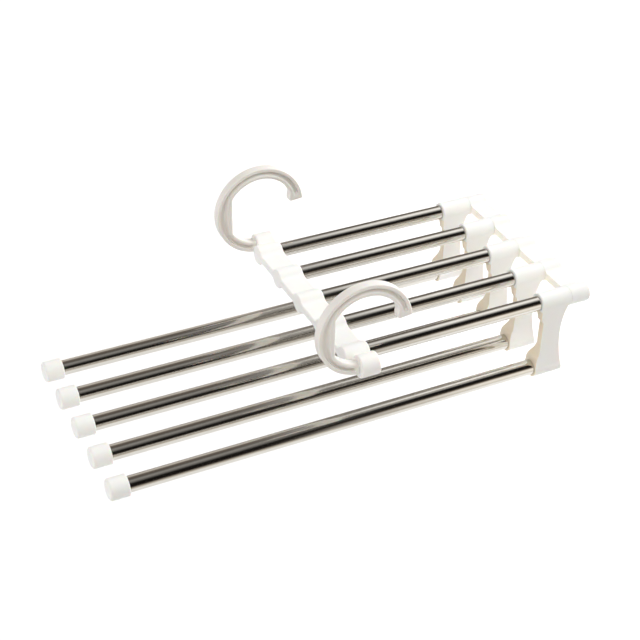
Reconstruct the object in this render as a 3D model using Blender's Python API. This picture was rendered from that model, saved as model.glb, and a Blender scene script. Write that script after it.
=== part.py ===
"""Telescopic trouser rack: two hooks, two moulded bars, five rail tubes and five sliding arms.

Metres, +Z up. The origin lies midway between the hooks, on the line where they rest on a wardrobe
rail. The rail tubes run along X, the arms stand side by side along Y, and arm 1 is the far one at +Y.
"""

import math

import bmesh
import bpy

# Tubes and how they fit
TUBE_DIAMETER = 0.0095
ROD_DIAMETER = 0.010
TUBE_WALL = 0.0008
FIT_GAP = 0.0003

# Arms
ARM_COUNT = 5
ARM_PITCH = 0.0305
ARM_DROP = 0.049
RAIL_SPAN = 0.120
ROD_SPAN = 0.2712

# Moulded bars
BARREL_WALL = 0.00125
BAR_WEB = 0.005
BAR_FILLET = 0.0055
BAR_RIM = 0.0008
HOOK_BAR_LENGTH = 0.0162
HOOK_SOCKET_DEPTH = 0.0125
END_BAR_LENGTH = 0.0135
END_SOCKET_DEPTH = 0.0105

# Arm brackets
BOSS_LENGTH = 0.0214
ROD_SOCKET_DEPTH = 0.0175
PLATE_THICKNESS = 0.0047
PLATE_INSET = 0.00025
UPPER_FLARE_START = 0.013
SWELL_TOP = 0.0225
SWELL_UPPER_PULL = 0.0145
SWELL_LOWER_PULL = 0.0125
WAIST_RIGHT_CUT = 0.0057
WAIST_RIGHT_TOP = 0.002
WAIST_RIGHT_MIDDLE = 0.022
WAIST_RIGHT_FOOT = 0.002
WAIST_LEAN = 0.0037
SHOULDER_PULL = 0.0024
SHOULDER_DROP = 0.0006
WAIST_LEFT_CUT = 0.0018
WAIST_LEFT_TOP = 0.009
WAIST_LEFT_STEP = 0.004
WAIST_LEFT_FLARE = 0.015
WAIST_LEFT_FOOT = 0.0065
FOOT_CUT = 0.001
FOOT_CORNER = 0.003

# Caps on the free ends of the hanging rods
CAP_WALL = 0.0014
CAP_LENGTH = 0.0121
CAP_END_WALL = 0.0026
CAP_DOME = 0.0018
CAP_RIM = 0.0006

# Hooks
HOOK_INNER_RADIUS = 0.02275
HOOK_BAND = 0.0075
HOOK_WIDTH = 0.006
HOOK_FLAT = 0.00355
HOOK_MOUTH_ANGLE = math.radians(6)
HOOK_SIDE_GAP = 0.0032
HOOK_EDGE = 0.0007
HOOK_RIM = 0.0027
GROOVE_WIDTH = 0.0023
GROOVE_DEPTH = 0.0012
GROOVE_DRAFT = 0.0007
GROOVE_FLAT_SHARE = 0.6
GROOVE_STEM_END = 0.0014
GROOVE_TIP_END = 0.003
TIP_CATCH = 0.0017
TIP_CATCH_FLAT = 0.0025
TIP_CATCH_RAMP = 0.006

# Hook pivots
PIVOT_SETBACK = 0.003
PIVOT_LENGTH = 0.0122
PIVOT_RIM = 0.0009
SPIGOT_DIAMETER = 0.0058
SPIGOT_ROOT = 0.001
PIVOT_WALL = 0.0038
WASHER_DIAMETER = 0.0078
WASHER_THICKNESS = 0.0007
SCREW_DIAMETER = 0.0022
SCREW_LENGTH = 0.0065
SCREW_TIP_DIAMETER = 0.0008
SCREW_HEAD_DIAMETER = 0.0052
SCREW_HEAD_TOP_DIAMETER = 0.0032
SCREW_HEAD_HEIGHT = 0.0016
SCREW_SUNK = 0.0004

# Fineness of the round shapes
ROUND_SIDES = 24
ARC_STEP = math.radians(15)
HOOK_STATIONS = 33
RIM_STEPS = 1
DOME_STEPS = 4
CURVE_STEPS = 6
CUT_PAST = 0.001
SAME_POINT = 1e-6
SHARP_ANGLE = math.radians(30)
MIDDLE_OF_ROUND = 1 - math.sqrt(0.5)

# Sizes that follow from the ones above
TUBE_RADIUS = TUBE_DIAMETER / 2
BORE_RADIUS = TUBE_RADIUS + FIT_GAP
BARREL_RADIUS = BORE_RADIUS + BARREL_WALL
ROD_RADIUS = ROD_DIAMETER / 2
ROD_BORE_RADIUS = ROD_RADIUS + FIT_GAP
SOCKET_RADIUS = ROD_BORE_RADIUS + BARREL_WALL
CAP_RADIUS = ROD_BORE_RADIUS + CAP_WALL
SPIGOT_RADIUS = SPIGOT_DIAMETER / 2
SPIGOT_BORE_RADIUS = SPIGOT_RADIUS + FIT_GAP
PIVOT_RADIUS = SPIGOT_BORE_RADIUS + PIVOT_WALL
WASHER_RADIUS = WASHER_DIAMETER / 2
SCREW_RADIUS = SCREW_DIAMETER / 2
SCREW_HOLE_RADIUS = SCREW_RADIUS + FIT_GAP
HOOK_OUTER_RADIUS = HOOK_INNER_RADIUS + HOOK_BAND
HOOK_MIDDLE_RADIUS = HOOK_INNER_RADIUS + HOOK_BAND / 2

# Places: x of each face, y of each axis and z of each axis
HOOK_CENTRE_Z = -HOOK_INNER_RADIUS
RAIL_Z = HOOK_CENTRE_Z - HOOK_MIDDLE_RADIUS
PIVOT_LEFT = -PIVOT_SETBACK
STEM_X = PIVOT_LEFT - FIT_GAP
HOOK_BAR_RIGHT = PIVOT_LEFT + PIVOT_LENGTH
HOOK_BAR_LEFT = HOOK_BAR_RIGHT - HOOK_BAR_LENGTH
BRACKET_LEFT = HOOK_BAR_RIGHT + RAIL_SPAN
BRACKET_RIGHT = BRACKET_LEFT + BOSS_LENGTH
END_BAR_LEFT = BRACKET_RIGHT + FIT_GAP
END_BAR_RIGHT = END_BAR_LEFT + END_BAR_LENGTH
CAP_RIGHT = BRACKET_LEFT - ROD_SPAN
CAP_LEFT = CAP_RIGHT - CAP_LENGTH
ARM_Y = [ARM_PITCH * ((ARM_COUNT - 1) / 2 - index) for index in range(ARM_COUNT)]
PIVOT_Y = ARM_Y[0] + BARREL_RADIUS + HOOK_SIDE_GAP + HOOK_WIDTH / 2

# The screw joint inside each hook pivot, from its sunk head inwards
SCREW_HEAD_END = HOOK_BAR_RIGHT - SCREW_SUNK
SCREW_HEAD_SEAT = SCREW_HEAD_END - SCREW_HEAD_HEIGHT
WASHER_RIGHT = SCREW_HEAD_SEAT - FIT_GAP
WASHER_LEFT = WASHER_RIGHT - WASHER_THICKNESS
SPIGOT_END = WASHER_LEFT - FIT_GAP
COUNTERBORE_RADIUS = WASHER_RADIUS + FIT_GAP
SCREW_TIP = SCREW_HEAD_SEAT - SCREW_LENGTH

WHITE_PLASTIC = ("white_plastic", (0.93, 0.92, 0.90, 1.0), 0.42, 0.0)
POLISHED_STEEL = ("polished_steel", (0.72, 0.71, 0.69, 1.0), 0.12, 1.0)
ZINC_STEEL = ("zinc_steel", (0.60, 0.61, 0.62, 1.0), 0.30, 1.0)


def clear_scene():
    """Remove every object that is in the scene."""
    for item in list(bpy.data.objects):
        bpy.data.objects.remove(item, do_unlink=True)


def make_material(node, finish):
    """Return a material of its own for one node."""
    name, colour, roughness, metallic = finish
    material = bpy.data.materials.new(f"{node}_{name}")
    material.use_nodes = True
    shader = material.node_tree.nodes["Principled BSDF"]
    shader.inputs["Base Color"].default_value = colour
    shader.inputs["Roughness"].default_value = roughness
    shader.inputs["Metallic"].default_value = metallic
    return material


def mesh_from(name, build):
    """Return a mesh whose bmesh the function build fills."""
    mesh = bpy.data.meshes.new(name)
    work = bmesh.new()
    build(work)
    bmesh.ops.recalc_face_normals(work, faces=work.faces)
    work.to_mesh(mesh)
    work.free()
    mesh.shade_smooth()
    mesh.set_sharp_from_angle(angle=SHARP_ANGLE)
    return mesh


def add_object(node, mesh, finish, location=(0, 0, 0)):
    """Put a mesh in the scene as the sub-part called node."""
    item = bpy.data.objects.new(node, mesh)
    item.location = location
    bpy.context.scene.collection.objects.link(item)
    while len(item.material_slots) < 1:
        item.data.materials.append(None)
    item.material_slots[0].link = "OBJECT"
    item.material_slots[0].material = make_material(node, finish)
    return item


def combined(name, base, steps):
    """Return the mesh that base becomes when each (operation, mesh) of steps is cut or joined in turn."""
    body = bpy.data.objects.new(name, base)
    bpy.context.scene.collection.objects.link(body)
    tools = []
    for operation, mesh in steps:
        tool = bpy.data.objects.new(f"{name}_tool", mesh)
        tool.hide_render = True
        tool.display_type = "WIRE"
        bpy.context.scene.collection.objects.link(tool)
        modifier = body.modifiers.new(operation.lower(), "BOOLEAN")
        modifier.operation = operation
        modifier.solver = "EXACT"
        modifier.object = tool
        tools.append(tool)
    graph = bpy.context.evaluated_depsgraph_get()
    result = bpy.data.meshes.new_from_object(body.evaluated_get(graph), depsgraph=graph)
    result.name = name
    for item in [body, *tools]:
        bpy.data.objects.remove(item, do_unlink=True)
    result.shade_smooth()
    result.set_sharp_from_angle(angle=SHARP_ANGLE)
    return result


def arc(centre, radius, start, end):
    """Return the points of an arc, both ends included; angles run counter-clockwise when end > start."""
    steps = max(2, math.ceil(abs(end - start) / ARC_STEP))
    turns = [start + (end - start) * step / steps for step in range(steps + 1)]
    return [(centre[0] + radius * math.cos(turn), centre[1] + radius * math.sin(turn)) for turn in turns]


def bezier(first, first_pull, last_pull, last):
    """Return points on a cubic curve from first to last, without first."""
    points = []
    for step in range(1, CURVE_STEPS + 1):
        t = step / CURVE_STEPS
        weights = ((1 - t) ** 3, 3 * t * (1 - t) ** 2, 3 * t * t * (1 - t), t**3)
        corners = (first, first_pull, last_pull, last)
        points.append(tuple(sum(w * c[axis] for w, c in zip(weights, corners)) for axis in range(2)))
    return points


def without_repeats(points):
    """Return a closed outline with its repeated neighbours dropped."""
    kept = []
    for point in points:
        if not kept or math.dist(point, kept[-1]) > SAME_POINT:
            kept.append(point)
    if math.dist(kept[0], kept[-1]) <= SAME_POINT:
        kept.pop()
    return kept


def shrunk(outline, inset):
    """Return an outline whose points all move inwards by inset; it runs counter-clockwise."""
    moved = []
    for index, point in enumerate(outline):
        before = outline[index - 1]
        after = outline[(index + 1) % len(outline)]
        first = (point[0] - before[0], point[1] - before[1])
        second = (after[0] - point[0], after[1] - point[1])
        first_length = math.hypot(*first)
        second_length = math.hypot(*second)
        across = (
            -(first[1] / first_length + second[1] / second_length),
            first[0] / first_length + second[0] / second_length,
        )
        stretch = 2 * inset / (across[0] ** 2 + across[1] ** 2)
        moved.append((point[0] + across[0] * stretch, point[1] + across[1] * stretch))
    return moved


def loft(work, rings):
    """Join rings of equally many points into one closed body with flat ends."""
    rows = [[work.verts.new(point) for point in ring] for ring in rings]
    count = len(rows[0])
    for row, following in zip(rows, rows[1:]):
        for index in range(count):
            after = (index + 1) % count
            work.faces.new((row[index], row[after], following[after], following[index]))
    work.faces.new(rows[0])
    work.faces.new(rows[-1])


def prism_along_x(work, outline, left, right, rim):
    """Extrude a (y, z) outline along X, with rounded rims at both ends."""
    quarter = [math.pi / 2 * step / RIM_STEPS for step in range(RIM_STEPS + 1)]
    stations = [(left + rim * (1 - math.sin(turn)), rim * (1 - math.cos(turn))) for turn in reversed(quarter)]
    stations += [(right - rim * (1 - math.sin(turn)), rim * (1 - math.cos(turn))) for turn in quarter]
    if rim == 0:
        stations = [(left, 0), (right, 0)]
    loft(work, [[(x, y, z) for y, z in shrunk(outline, inset)] for x, inset in stations])


def prism_along_y(work, outline, near, far):
    """Extrude an (x, z) outline along Y."""
    loft(work, [[(x, y, z) for x, z in outline] for y in (near, far)])


def turned(work, profile, y=0.0, z=0.0):
    """Turn a profile of (x, radius) points about an X axis, with a flat face at each end."""
    turns = [2 * math.pi * side / ROUND_SIDES for side in range(ROUND_SIDES)]
    rings = [
        [(x, y + radius * math.cos(turn), z + radius * math.sin(turn)) for turn in turns]
        for x, radius in profile
    ]
    loft(work, rings)


def tube(work, left, right, outer, inner, y=0.0, z=0.0):
    """Add an open-ended tube along X."""
    turns = [2 * math.pi * side / ROUND_SIDES for side in range(ROUND_SIDES)]
    corners = [(left, outer), (right, outer), (right, inner), (left, inner)]
    rows = [
        [work.verts.new((x, y + r * math.cos(turn), z + r * math.sin(turn))) for turn in turns]
        for x, r in corners
    ]
    for row, following in zip(rows, rows[1:] + rows[:1]):
        for index in range(ROUND_SIDES):
            after = (index + 1) % ROUND_SIDES
            work.faces.new((row[index], row[after], following[after], following[index]))


def bar_outline():
    """Return the (y, z) outline of a bar: a barrel round each rail tube, joined by webs with fillets."""
    fillet_z = BAR_WEB / 2 + BAR_FILLET
    fillet_y = math.sqrt((BARREL_RADIUS + BAR_FILLET) ** 2 - fillet_z**2)
    lean = math.atan2(fillet_z, fillet_y)
    top = []
    for index, y in enumerate(ARM_Y):
        start = lean if index else 0.0
        end = math.pi - lean if index < ARM_COUNT - 1 else math.pi
        top += arc((y, 0), BARREL_RADIUS, start, end)
        if index < ARM_COUNT - 1:
            top += arc((y - fillet_y, fillet_z), BAR_FILLET, -lean, -math.pi / 2)
            next_fillet = (ARM_Y[index + 1] + fillet_y, fillet_z)
            top += arc(next_fillet, BAR_FILLET, -math.pi / 2, lean - math.pi)
    bottom = [(y, -z) for y, z in reversed(top)]
    return [(y, z + RAIL_Z) for y, z in without_repeats(top + bottom)]


def make_hook_bar():
    """Make the bar that carries both hooks and holds the left ends of the rail tubes."""

    def fill_body(work):
        prism_along_x(work, bar_outline(), HOOK_BAR_LEFT, HOOK_BAR_RIGHT, BAR_RIM)

    def fill_pivot(side):
        def fill(work):
            profile = [(PIVOT_LEFT, PIVOT_RADIUS - PIVOT_RIM)]
            part_way = PIVOT_RIM * MIDDLE_OF_ROUND
            profile += [(PIVOT_LEFT + part_way, PIVOT_RADIUS - part_way)]
            profile += [(PIVOT_LEFT + PIVOT_RIM, PIVOT_RADIUS), (HOOK_BAR_RIGHT - BAR_RIM, PIVOT_RADIUS)]
            part_way = BAR_RIM * MIDDLE_OF_ROUND
            profile += [(HOOK_BAR_RIGHT - part_way, PIVOT_RADIUS - part_way)]
            profile += [(HOOK_BAR_RIGHT, PIVOT_RADIUS - BAR_RIM)]
            turned(work, profile, side * PIVOT_Y, RAIL_Z)

        return fill

    def fill_holes(work):
        for y in ARM_Y:
            floor = HOOK_BAR_RIGHT - HOOK_SOCKET_DEPTH
            turned(work, [(floor, BORE_RADIUS), (HOOK_BAR_RIGHT + CUT_PAST, BORE_RADIUS)], y, RAIL_Z)
        for side in (-1, 1):
            profile = [
                (PIVOT_LEFT - CUT_PAST, SPIGOT_BORE_RADIUS),
                (WASHER_LEFT - FIT_GAP, SPIGOT_BORE_RADIUS),
                (WASHER_LEFT - FIT_GAP, COUNTERBORE_RADIUS),
                (HOOK_BAR_RIGHT + CUT_PAST, COUNTERBORE_RADIUS),
            ]
            turned(work, profile, side * PIVOT_Y, RAIL_Z)

    steps = [("UNION", mesh_from("pivot", fill_pivot(side))) for side in (-1, 1)]
    steps.append(("DIFFERENCE", mesh_from("holes", fill_holes)))
    mesh = combined("hook_bar", mesh_from("hook_bar_body", fill_body), steps)
    add_object("hook_bar", mesh, WHITE_PLASTIC)


def make_end_bar():
    """Make the bar that holds the right ends of the rail tubes."""

    def fill_body(work):
        prism_along_x(work, bar_outline(), END_BAR_LEFT, END_BAR_RIGHT, BAR_RIM)

    def fill_holes(work):
        for y in ARM_Y:
            ceiling = END_BAR_LEFT + END_SOCKET_DEPTH
            turned(work, [(END_BAR_LEFT - CUT_PAST, BORE_RADIUS), (ceiling, BORE_RADIUS)], y, RAIL_Z)

    steps = [("DIFFERENCE", mesh_from("holes", fill_holes))]
    mesh = combined("end_bar", mesh_from("end_bar_body", fill_body), steps)
    add_object("end_bar", mesh, WHITE_PLASTIC)


def make_rail_tubes():
    """Make the tubes that join the two bars; each has its origin on its own axis."""
    left = HOOK_BAR_RIGHT - HOOK_SOCKET_DEPTH + FIT_GAP
    right = END_BAR_LEFT + END_SOCKET_DEPTH - FIT_GAP

    def fill(work):
        tube(work, left, right, TUBE_RADIUS, TUBE_RADIUS - TUBE_WALL)

    mesh = mesh_from("rail_tube", fill)
    for index, y in enumerate(ARM_Y, start=1):
        add_object(f"rail_tube_{index}", mesh, POLISHED_STEEL, (0, y, RAIL_Z))


def bracket_side_outline():
    """Return the (y, z) outline of a bracket's plate about its boss axis, with its rod socket.

    The plate's top lies within the boss. Its back flares into the boss, and swells into the socket.
    """
    top_radius = BARREL_RADIUS - PLATE_INSET
    back = PLATE_THICKNESS - top_radius
    socket_z = -ARM_DROP
    upper = (UPPER_FLARE_START**2 + back**2 - top_radius**2) / (2 * (top_radius + back))
    upper_centre = (back + upper, -UPPER_FLARE_START)
    upper_lean = math.atan2(upper_centre[1], upper_centre[0])
    front_lean = math.acos(-top_radius / SOCKET_RADIUS)
    swell_foot = (SOCKET_RADIUS, socket_z)
    lower_pull = (SOCKET_RADIUS, socket_z + SWELL_LOWER_PULL)
    upper_pull = (back, socket_z + SWELL_UPPER_PULL)
    points = arc((0, 0), top_radius, upper_lean, math.pi)
    points += arc((0, socket_z), SOCKET_RADIUS, front_lean, 2 * math.pi)
    points += bezier(swell_foot, lower_pull, upper_pull, (back, socket_z + SWELL_TOP))
    points += arc(upper_centre, upper, math.pi, math.pi + upper_lean)
    return without_repeats(points)


def bracket_front_outline():
    """Return the (x, z) outline of a bracket's plate, with its waist cut in from both sides."""
    left = PLATE_INSET
    right = BOSS_LENGTH - PLATE_INSET
    foot = -ARM_DROP - SOCKET_RADIUS - CUT_PAST / 2
    top = BARREL_RADIUS + CUT_PAST
    corner = FOOT_CORNER + CUT_PAST / 2
    foot_right = BOSS_LENGTH - FOOT_CUT
    waist_right = BOSS_LENGTH - WAIST_RIGHT_CUT
    socket_top = -ARM_DROP - WAIST_RIGHT_FOOT
    left_flare_top = -ARM_DROP + WAIST_LEFT_FLARE
    left_flare_foot = -ARM_DROP + WAIST_LEFT_FOOT
    points = [(left, top), (left, -WAIST_LEFT_TOP)]
    step_foot = -WAIST_LEFT_TOP - WAIST_LEFT_STEP
    step_middle = -WAIST_LEFT_TOP - WAIST_LEFT_STEP / 2
    waist_left = WAIST_LEFT_CUT
    points += bezier(points[-1], (left, step_middle), (waist_left, step_middle), (waist_left, step_foot))
    points += [(waist_left, left_flare_top)]
    flare_middle = (left_flare_top + left_flare_foot) / 2
    points += bezier(points[-1], (waist_left, flare_middle), (left, flare_middle), (left, left_flare_foot))
    points += [(left, foot), (foot_right - corner, foot)]
    points += arc((foot_right - corner, foot + corner), corner, -math.pi / 2, 0)
    points += [(foot_right, socket_top)]
    pull = (-WAIST_RIGHT_MIDDLE - socket_top) / 3
    last = (waist_right, -WAIST_RIGHT_MIDDLE)
    lean = (BOSS_LENGTH - WAIST_LEAN, socket_top + pull)
    points += bezier(points[-1], lean, (waist_right, -WAIST_RIGHT_MIDDLE - pull), last)
    rise = (WAIST_RIGHT_MIDDLE - WAIST_RIGHT_TOP) / 2
    shoulder = (right - SHOULDER_PULL, -WAIST_RIGHT_TOP - SHOULDER_DROP)
    points += bezier(last, (waist_right, rise - WAIST_RIGHT_MIDDLE), shoulder, (right, -WAIST_RIGHT_TOP))
    points += [(right, top)]
    return without_repeats(points)


def make_arm_brackets():
    """Make the brackets that slide and swing on the rail tubes; each has its origin on its boss axis."""

    def fill_body(work):
        outline = bracket_side_outline()
        prism_along_x(work, outline, BRACKET_LEFT - CUT_PAST, BRACKET_RIGHT + CUT_PAST, 0)

    def fill_plate(work):
        outline = [(BRACKET_LEFT + x, z) for x, z in bracket_front_outline()]
        reach = BARREL_RADIUS + CUT_PAST
        prism_along_y(work, outline, -reach, reach)

    def fill_boss(work):
        turned(work, [(BRACKET_LEFT, BARREL_RADIUS), (BRACKET_RIGHT, BARREL_RADIUS)])

    def fill_holes(work):
        turned(work, [(BRACKET_LEFT - CUT_PAST, BORE_RADIUS), (BRACKET_RIGHT + CUT_PAST, BORE_RADIUS)])
        ceiling = BRACKET_LEFT + ROD_SOCKET_DEPTH
        socket = [(BRACKET_LEFT - CUT_PAST, ROD_BORE_RADIUS), (ceiling, ROD_BORE_RADIUS)]
        turned(work, socket, 0, -ARM_DROP)

    steps = [
        ("INTERSECT", mesh_from("plate", fill_plate)),
        ("UNION", mesh_from("boss", fill_boss)),
        ("DIFFERENCE", mesh_from("holes", fill_holes)),
    ]
    mesh = combined("arm_bracket", mesh_from("arm_bracket_body", fill_body), steps)
    for index, y in enumerate(ARM_Y, start=1):
        add_object(f"arm_bracket_{index}", mesh, WHITE_PLASTIC, (0, y, RAIL_Z))


def make_hanging_rods():
    """Make the rods that trousers hang over; each has its origin on its arm's boss axis."""
    left = CAP_LEFT + CAP_END_WALL + FIT_GAP
    right = BRACKET_LEFT + ROD_SOCKET_DEPTH - FIT_GAP

    def fill(work):
        tube(work, left, right, ROD_RADIUS, ROD_RADIUS - TUBE_WALL, 0, -ARM_DROP)

    mesh = mesh_from("hanging_rod", fill)
    for index, y in enumerate(ARM_Y, start=1):
        add_object(f"hanging_rod_{index}", mesh, POLISHED_STEEL, (0, y, RAIL_Z))


def make_rod_caps():
    """Make the domed caps on the free ends of the hanging rods."""

    def fill(work):
        dome = min(CAP_DOME, CAP_RADIUS - CAP_RIM, CAP_LENGTH - CAP_RIM)
        turns = [math.pi / 2 * step / DOME_STEPS for step in range(DOME_STEPS + 1)]
        profile = [
            (CAP_LEFT + dome * (1 - math.sin(turn)), CAP_RADIUS - dome * (1 - math.cos(turn)))
            for turn in reversed(turns)
        ]
        profile += [(CAP_RIGHT - CAP_RIM, CAP_RADIUS), (CAP_RIGHT, CAP_RADIUS - CAP_RIM)]
        profile += [(CAP_RIGHT, ROD_BORE_RADIUS), (CAP_LEFT + CAP_END_WALL, ROD_BORE_RADIUS)]
        turned(work, profile, 0, -ARM_DROP)

    mesh = mesh_from("rod_cap", fill)
    for index, y in enumerate(ARM_Y, start=1):
        add_object(f"rod_cap_{index}", mesh, WHITE_PLASTIC, (0, y, RAIL_Z))


def tip_catch(turn):
    """Return how far the band's inner face stands in at the direction turn, to catch the rail at the tip."""
    from_tip = (turn - HOOK_MOUTH_ANGLE + 2 * math.pi) * HOOK_MIDDLE_RADIUS
    share = min(1.0, max(0.0, (from_tip - TIP_CATCH_FLAT) / TIP_CATCH_RAMP))
    return TIP_CATCH * (1 + math.cos(math.pi * share)) / 2


def hook_section(turn, groove):
    """Return the (radius, y) section of a hook in the direction turn; groove is the depth of its grooves."""
    flat_reach = HOOK_INNER_RADIUS - HOOK_FLAT
    toward_flat = -math.cos(turn)
    inner = HOOK_INNER_RADIUS
    if toward_flat > 0:
        inner = min(HOOK_INNER_RADIUS, flat_reach / toward_flat)
    thicker = HOOK_INNER_RADIUS - inner
    inner -= tip_catch(turn)
    half = HOOK_WIDTH / 2
    part_way = HOOK_EDGE * MIDDLE_OF_ROUND
    groove_outer = HOOK_OUTER_RADIUS - HOOK_RIM
    groove_inner = groove_outer - GROOVE_WIDTH - thicker * GROOVE_FLAT_SHARE
    side = [
        (inner, half - HOOK_EDGE),
        (inner + part_way, half - part_way),
        (inner + HOOK_EDGE, half),
        (groove_inner, half),
        (groove_inner + GROOVE_DRAFT, half - groove),
        (groove_outer - GROOVE_DRAFT, half - groove),
        (groove_outer, half),
        (HOOK_OUTER_RADIUS - HOOK_EDGE, half),
        (HOOK_OUTER_RADIUS - part_way, half - part_way),
        (HOOK_OUTER_RADIUS, half - HOOK_EDGE),
    ]
    return side + [(radius, -y) for radius, y in reversed(side)]


def hook_stations():
    """Return (turn, groove depth) pairs from beside the stem, under the ring, round the left to the tip."""
    stem = -math.pi / 2 - math.asin(-STEM_X / HOOK_INNER_RADIUS)
    tip = HOOK_MOUTH_ANGLE - 2 * math.pi
    wall = GROOVE_DRAFT / HOOK_MIDDLE_RADIUS
    first = stem - GROOVE_STEM_END / HOOK_MIDDLE_RADIUS
    last = tip + GROOVE_TIP_END / HOOK_MIDDLE_RADIUS
    pairs = [(first + wall, 0.0)]
    for step in range(HOOK_STATIONS + 1):
        pairs.append((first + (last - first) * step / HOOK_STATIONS, GROOVE_DEPTH))
    return pairs + [(last - wall, 0.0), (tip, 0.0)]


def make_hooks():
    """Make the two C hooks; each has its origin on its pivot axis."""

    def fill_ring(work):
        end_face = [
            (STEM_X, y, HOOK_MIDDLE_RADIUS - math.sqrt(radius**2 - STEM_X**2))
            for radius, y in hook_section(-math.pi / 2, 0.0)
        ]
        rings = [end_face]
        for turn, groove in hook_stations():
            rings.append(
                [
                    (radius * math.cos(turn), y, HOOK_MIDDLE_RADIUS + radius * math.sin(turn))
                    for radius, y in hook_section(turn, groove)
                ]
            )
        loft(work, rings)

    def fill_spigot(work):
        turned(work, [(STEM_X - SPIGOT_ROOT, SPIGOT_RADIUS), (SPIGOT_END, SPIGOT_RADIUS)])

    def fill_hole(work):
        floor = SCREW_TIP - FIT_GAP
        turned(work, [(floor, SCREW_HOLE_RADIUS), (SPIGOT_END + CUT_PAST, SCREW_HOLE_RADIUS)])

    steps = [
        ("UNION", mesh_from("spigot", fill_spigot)),
        ("DIFFERENCE", mesh_from("hole", fill_hole)),
    ]
    mesh = combined("hook", mesh_from("hook_ring", fill_ring), steps)
    for name, side in (("near", -1), ("far", 1)):
        add_object(f"hook_{name}", mesh, WHITE_PLASTIC, (0, side * PIVOT_Y, RAIL_Z))


def make_hook_fasteners():
    """Make the washer and the screw that keep each hook in its pivot barrel."""

    def fill_washer(work):
        tube(work, WASHER_LEFT, WASHER_RIGHT, WASHER_RADIUS, SCREW_HOLE_RADIUS)

    def fill_screw(work):
        head = SCREW_HEAD_DIAMETER / 2
        shoulder = SCREW_HEAD_END - SCREW_HEAD_HEIGHT / 2
        profile = [
            (SCREW_TIP, SCREW_TIP_DIAMETER / 2),
            (SCREW_TIP + SCREW_RADIUS, SCREW_RADIUS),
            (SCREW_HEAD_SEAT, SCREW_RADIUS),
            (SCREW_HEAD_SEAT, head),
            (shoulder, head),
            (SCREW_HEAD_END, SCREW_HEAD_TOP_DIAMETER / 2),
        ]
        turned(work, profile)

    washer = mesh_from("hook_washer", fill_washer)
    screw = mesh_from("hook_screw", fill_screw)
    for name, side in (("near", -1), ("far", 1)):
        place = (0, side * PIVOT_Y, RAIL_Z)
        add_object(f"hook_washer_{name}", washer, ZINC_STEEL, place)
        add_object(f"hook_screw_{name}", screw, ZINC_STEEL, place)


def main():
    """Model the whole rack."""
    clear_scene()
    make_hook_bar()
    make_end_bar()
    make_rail_tubes()
    make_arm_brackets()
    make_hanging_rods()
    make_rod_caps()
    make_hooks()
    make_hook_fasteners()


main()
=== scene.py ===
"""Looks of the telescopic trouser rack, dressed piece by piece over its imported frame.

Metres, +Z up. The origin lies midway between the hooks, where they rest on a wardrobe rail. The rail
tubes run along X, the arms stand side by side along Y, and arm 1 is the far one at +Y.
"""

import logging
import math
from collections.abc import Callable, Sequence
from dataclasses import dataclass
from enum import Enum

import bmesh
import bpy
from mathutils import Matrix, Vector


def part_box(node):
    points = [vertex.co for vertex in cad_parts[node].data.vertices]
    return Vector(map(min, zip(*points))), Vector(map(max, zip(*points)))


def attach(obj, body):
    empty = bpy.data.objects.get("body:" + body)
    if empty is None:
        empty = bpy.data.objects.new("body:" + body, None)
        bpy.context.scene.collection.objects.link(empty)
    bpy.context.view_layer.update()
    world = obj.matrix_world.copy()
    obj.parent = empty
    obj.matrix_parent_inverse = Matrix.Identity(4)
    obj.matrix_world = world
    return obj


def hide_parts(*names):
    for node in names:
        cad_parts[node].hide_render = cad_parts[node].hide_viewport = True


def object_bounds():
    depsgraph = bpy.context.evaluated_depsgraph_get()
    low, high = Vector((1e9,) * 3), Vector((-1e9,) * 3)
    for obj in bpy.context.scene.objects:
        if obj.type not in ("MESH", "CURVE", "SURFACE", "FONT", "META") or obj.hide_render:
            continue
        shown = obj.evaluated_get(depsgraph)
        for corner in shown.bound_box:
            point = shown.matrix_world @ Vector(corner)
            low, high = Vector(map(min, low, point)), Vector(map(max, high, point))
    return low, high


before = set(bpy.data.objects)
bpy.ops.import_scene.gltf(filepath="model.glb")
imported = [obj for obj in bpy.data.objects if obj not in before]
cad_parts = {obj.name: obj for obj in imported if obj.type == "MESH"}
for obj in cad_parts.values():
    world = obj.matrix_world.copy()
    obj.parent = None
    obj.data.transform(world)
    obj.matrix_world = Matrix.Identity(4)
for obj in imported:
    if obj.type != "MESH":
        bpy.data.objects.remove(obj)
CAD_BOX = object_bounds()

MM = 0.001
ARM_COUNT = 5
ARC_STEP = math.radians(4)
SHARP_ANGLE = math.radians(35)
RIM_STEPS = 5
GROOVE_STEPS = 8
CURVE_STEPS = 24
BORE_SIDES = 72
TUBE_SIDES = 96
CUT_PAST = 1 * MM
SAME_POINT = 1e-7
QUARTER_TURN = math.pi / 2
# A height in metres that no point of the rack reaches.
ABOVE_RACK = 1.0
# A Mix node has sockets for each kind of value, so those for colours go by their numbers.
MIX_FIRST = 6
MIX_SECOND = 7
MIXED = 2

Point = tuple[float, float]
Place = tuple[float, float, float]
Stops = tuple[tuple[float, str], ...]
Filler = Callable[[bmesh.types.BMesh], None]
log = logging.getLogger("trouser_rack")


class Slot(Enum):
    """The record's material slots."""

    PLASTIC = "white_plastic"
    STEEL = "polished_steel"
    ZINC = "zinc_steel"


class Side(Enum):
    """The two hooks, each with the sign of its y."""

    NEAR = -1
    FAR = 1


class Operation(Enum):
    """What a Boolean does with its tool."""

    JOIN = "UNION"
    CUT = "DIFFERENCE"


@dataclass(frozen=True)
class Box:
    """The space that a node of the frame fills at rest."""

    low: Vector
    high: Vector

    @classmethod
    def of(cls, node: str) -> "Box":
        """Return the box of the frame's node of this name."""
        return cls(*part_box(node))

    @property
    def centre(self) -> Vector:
        """The middle of the box."""
        return (self.low + self.high) / 2

    @property
    def size(self) -> Vector:
        """The length of the box along X, Y and Z."""
        return self.high - self.low


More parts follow.
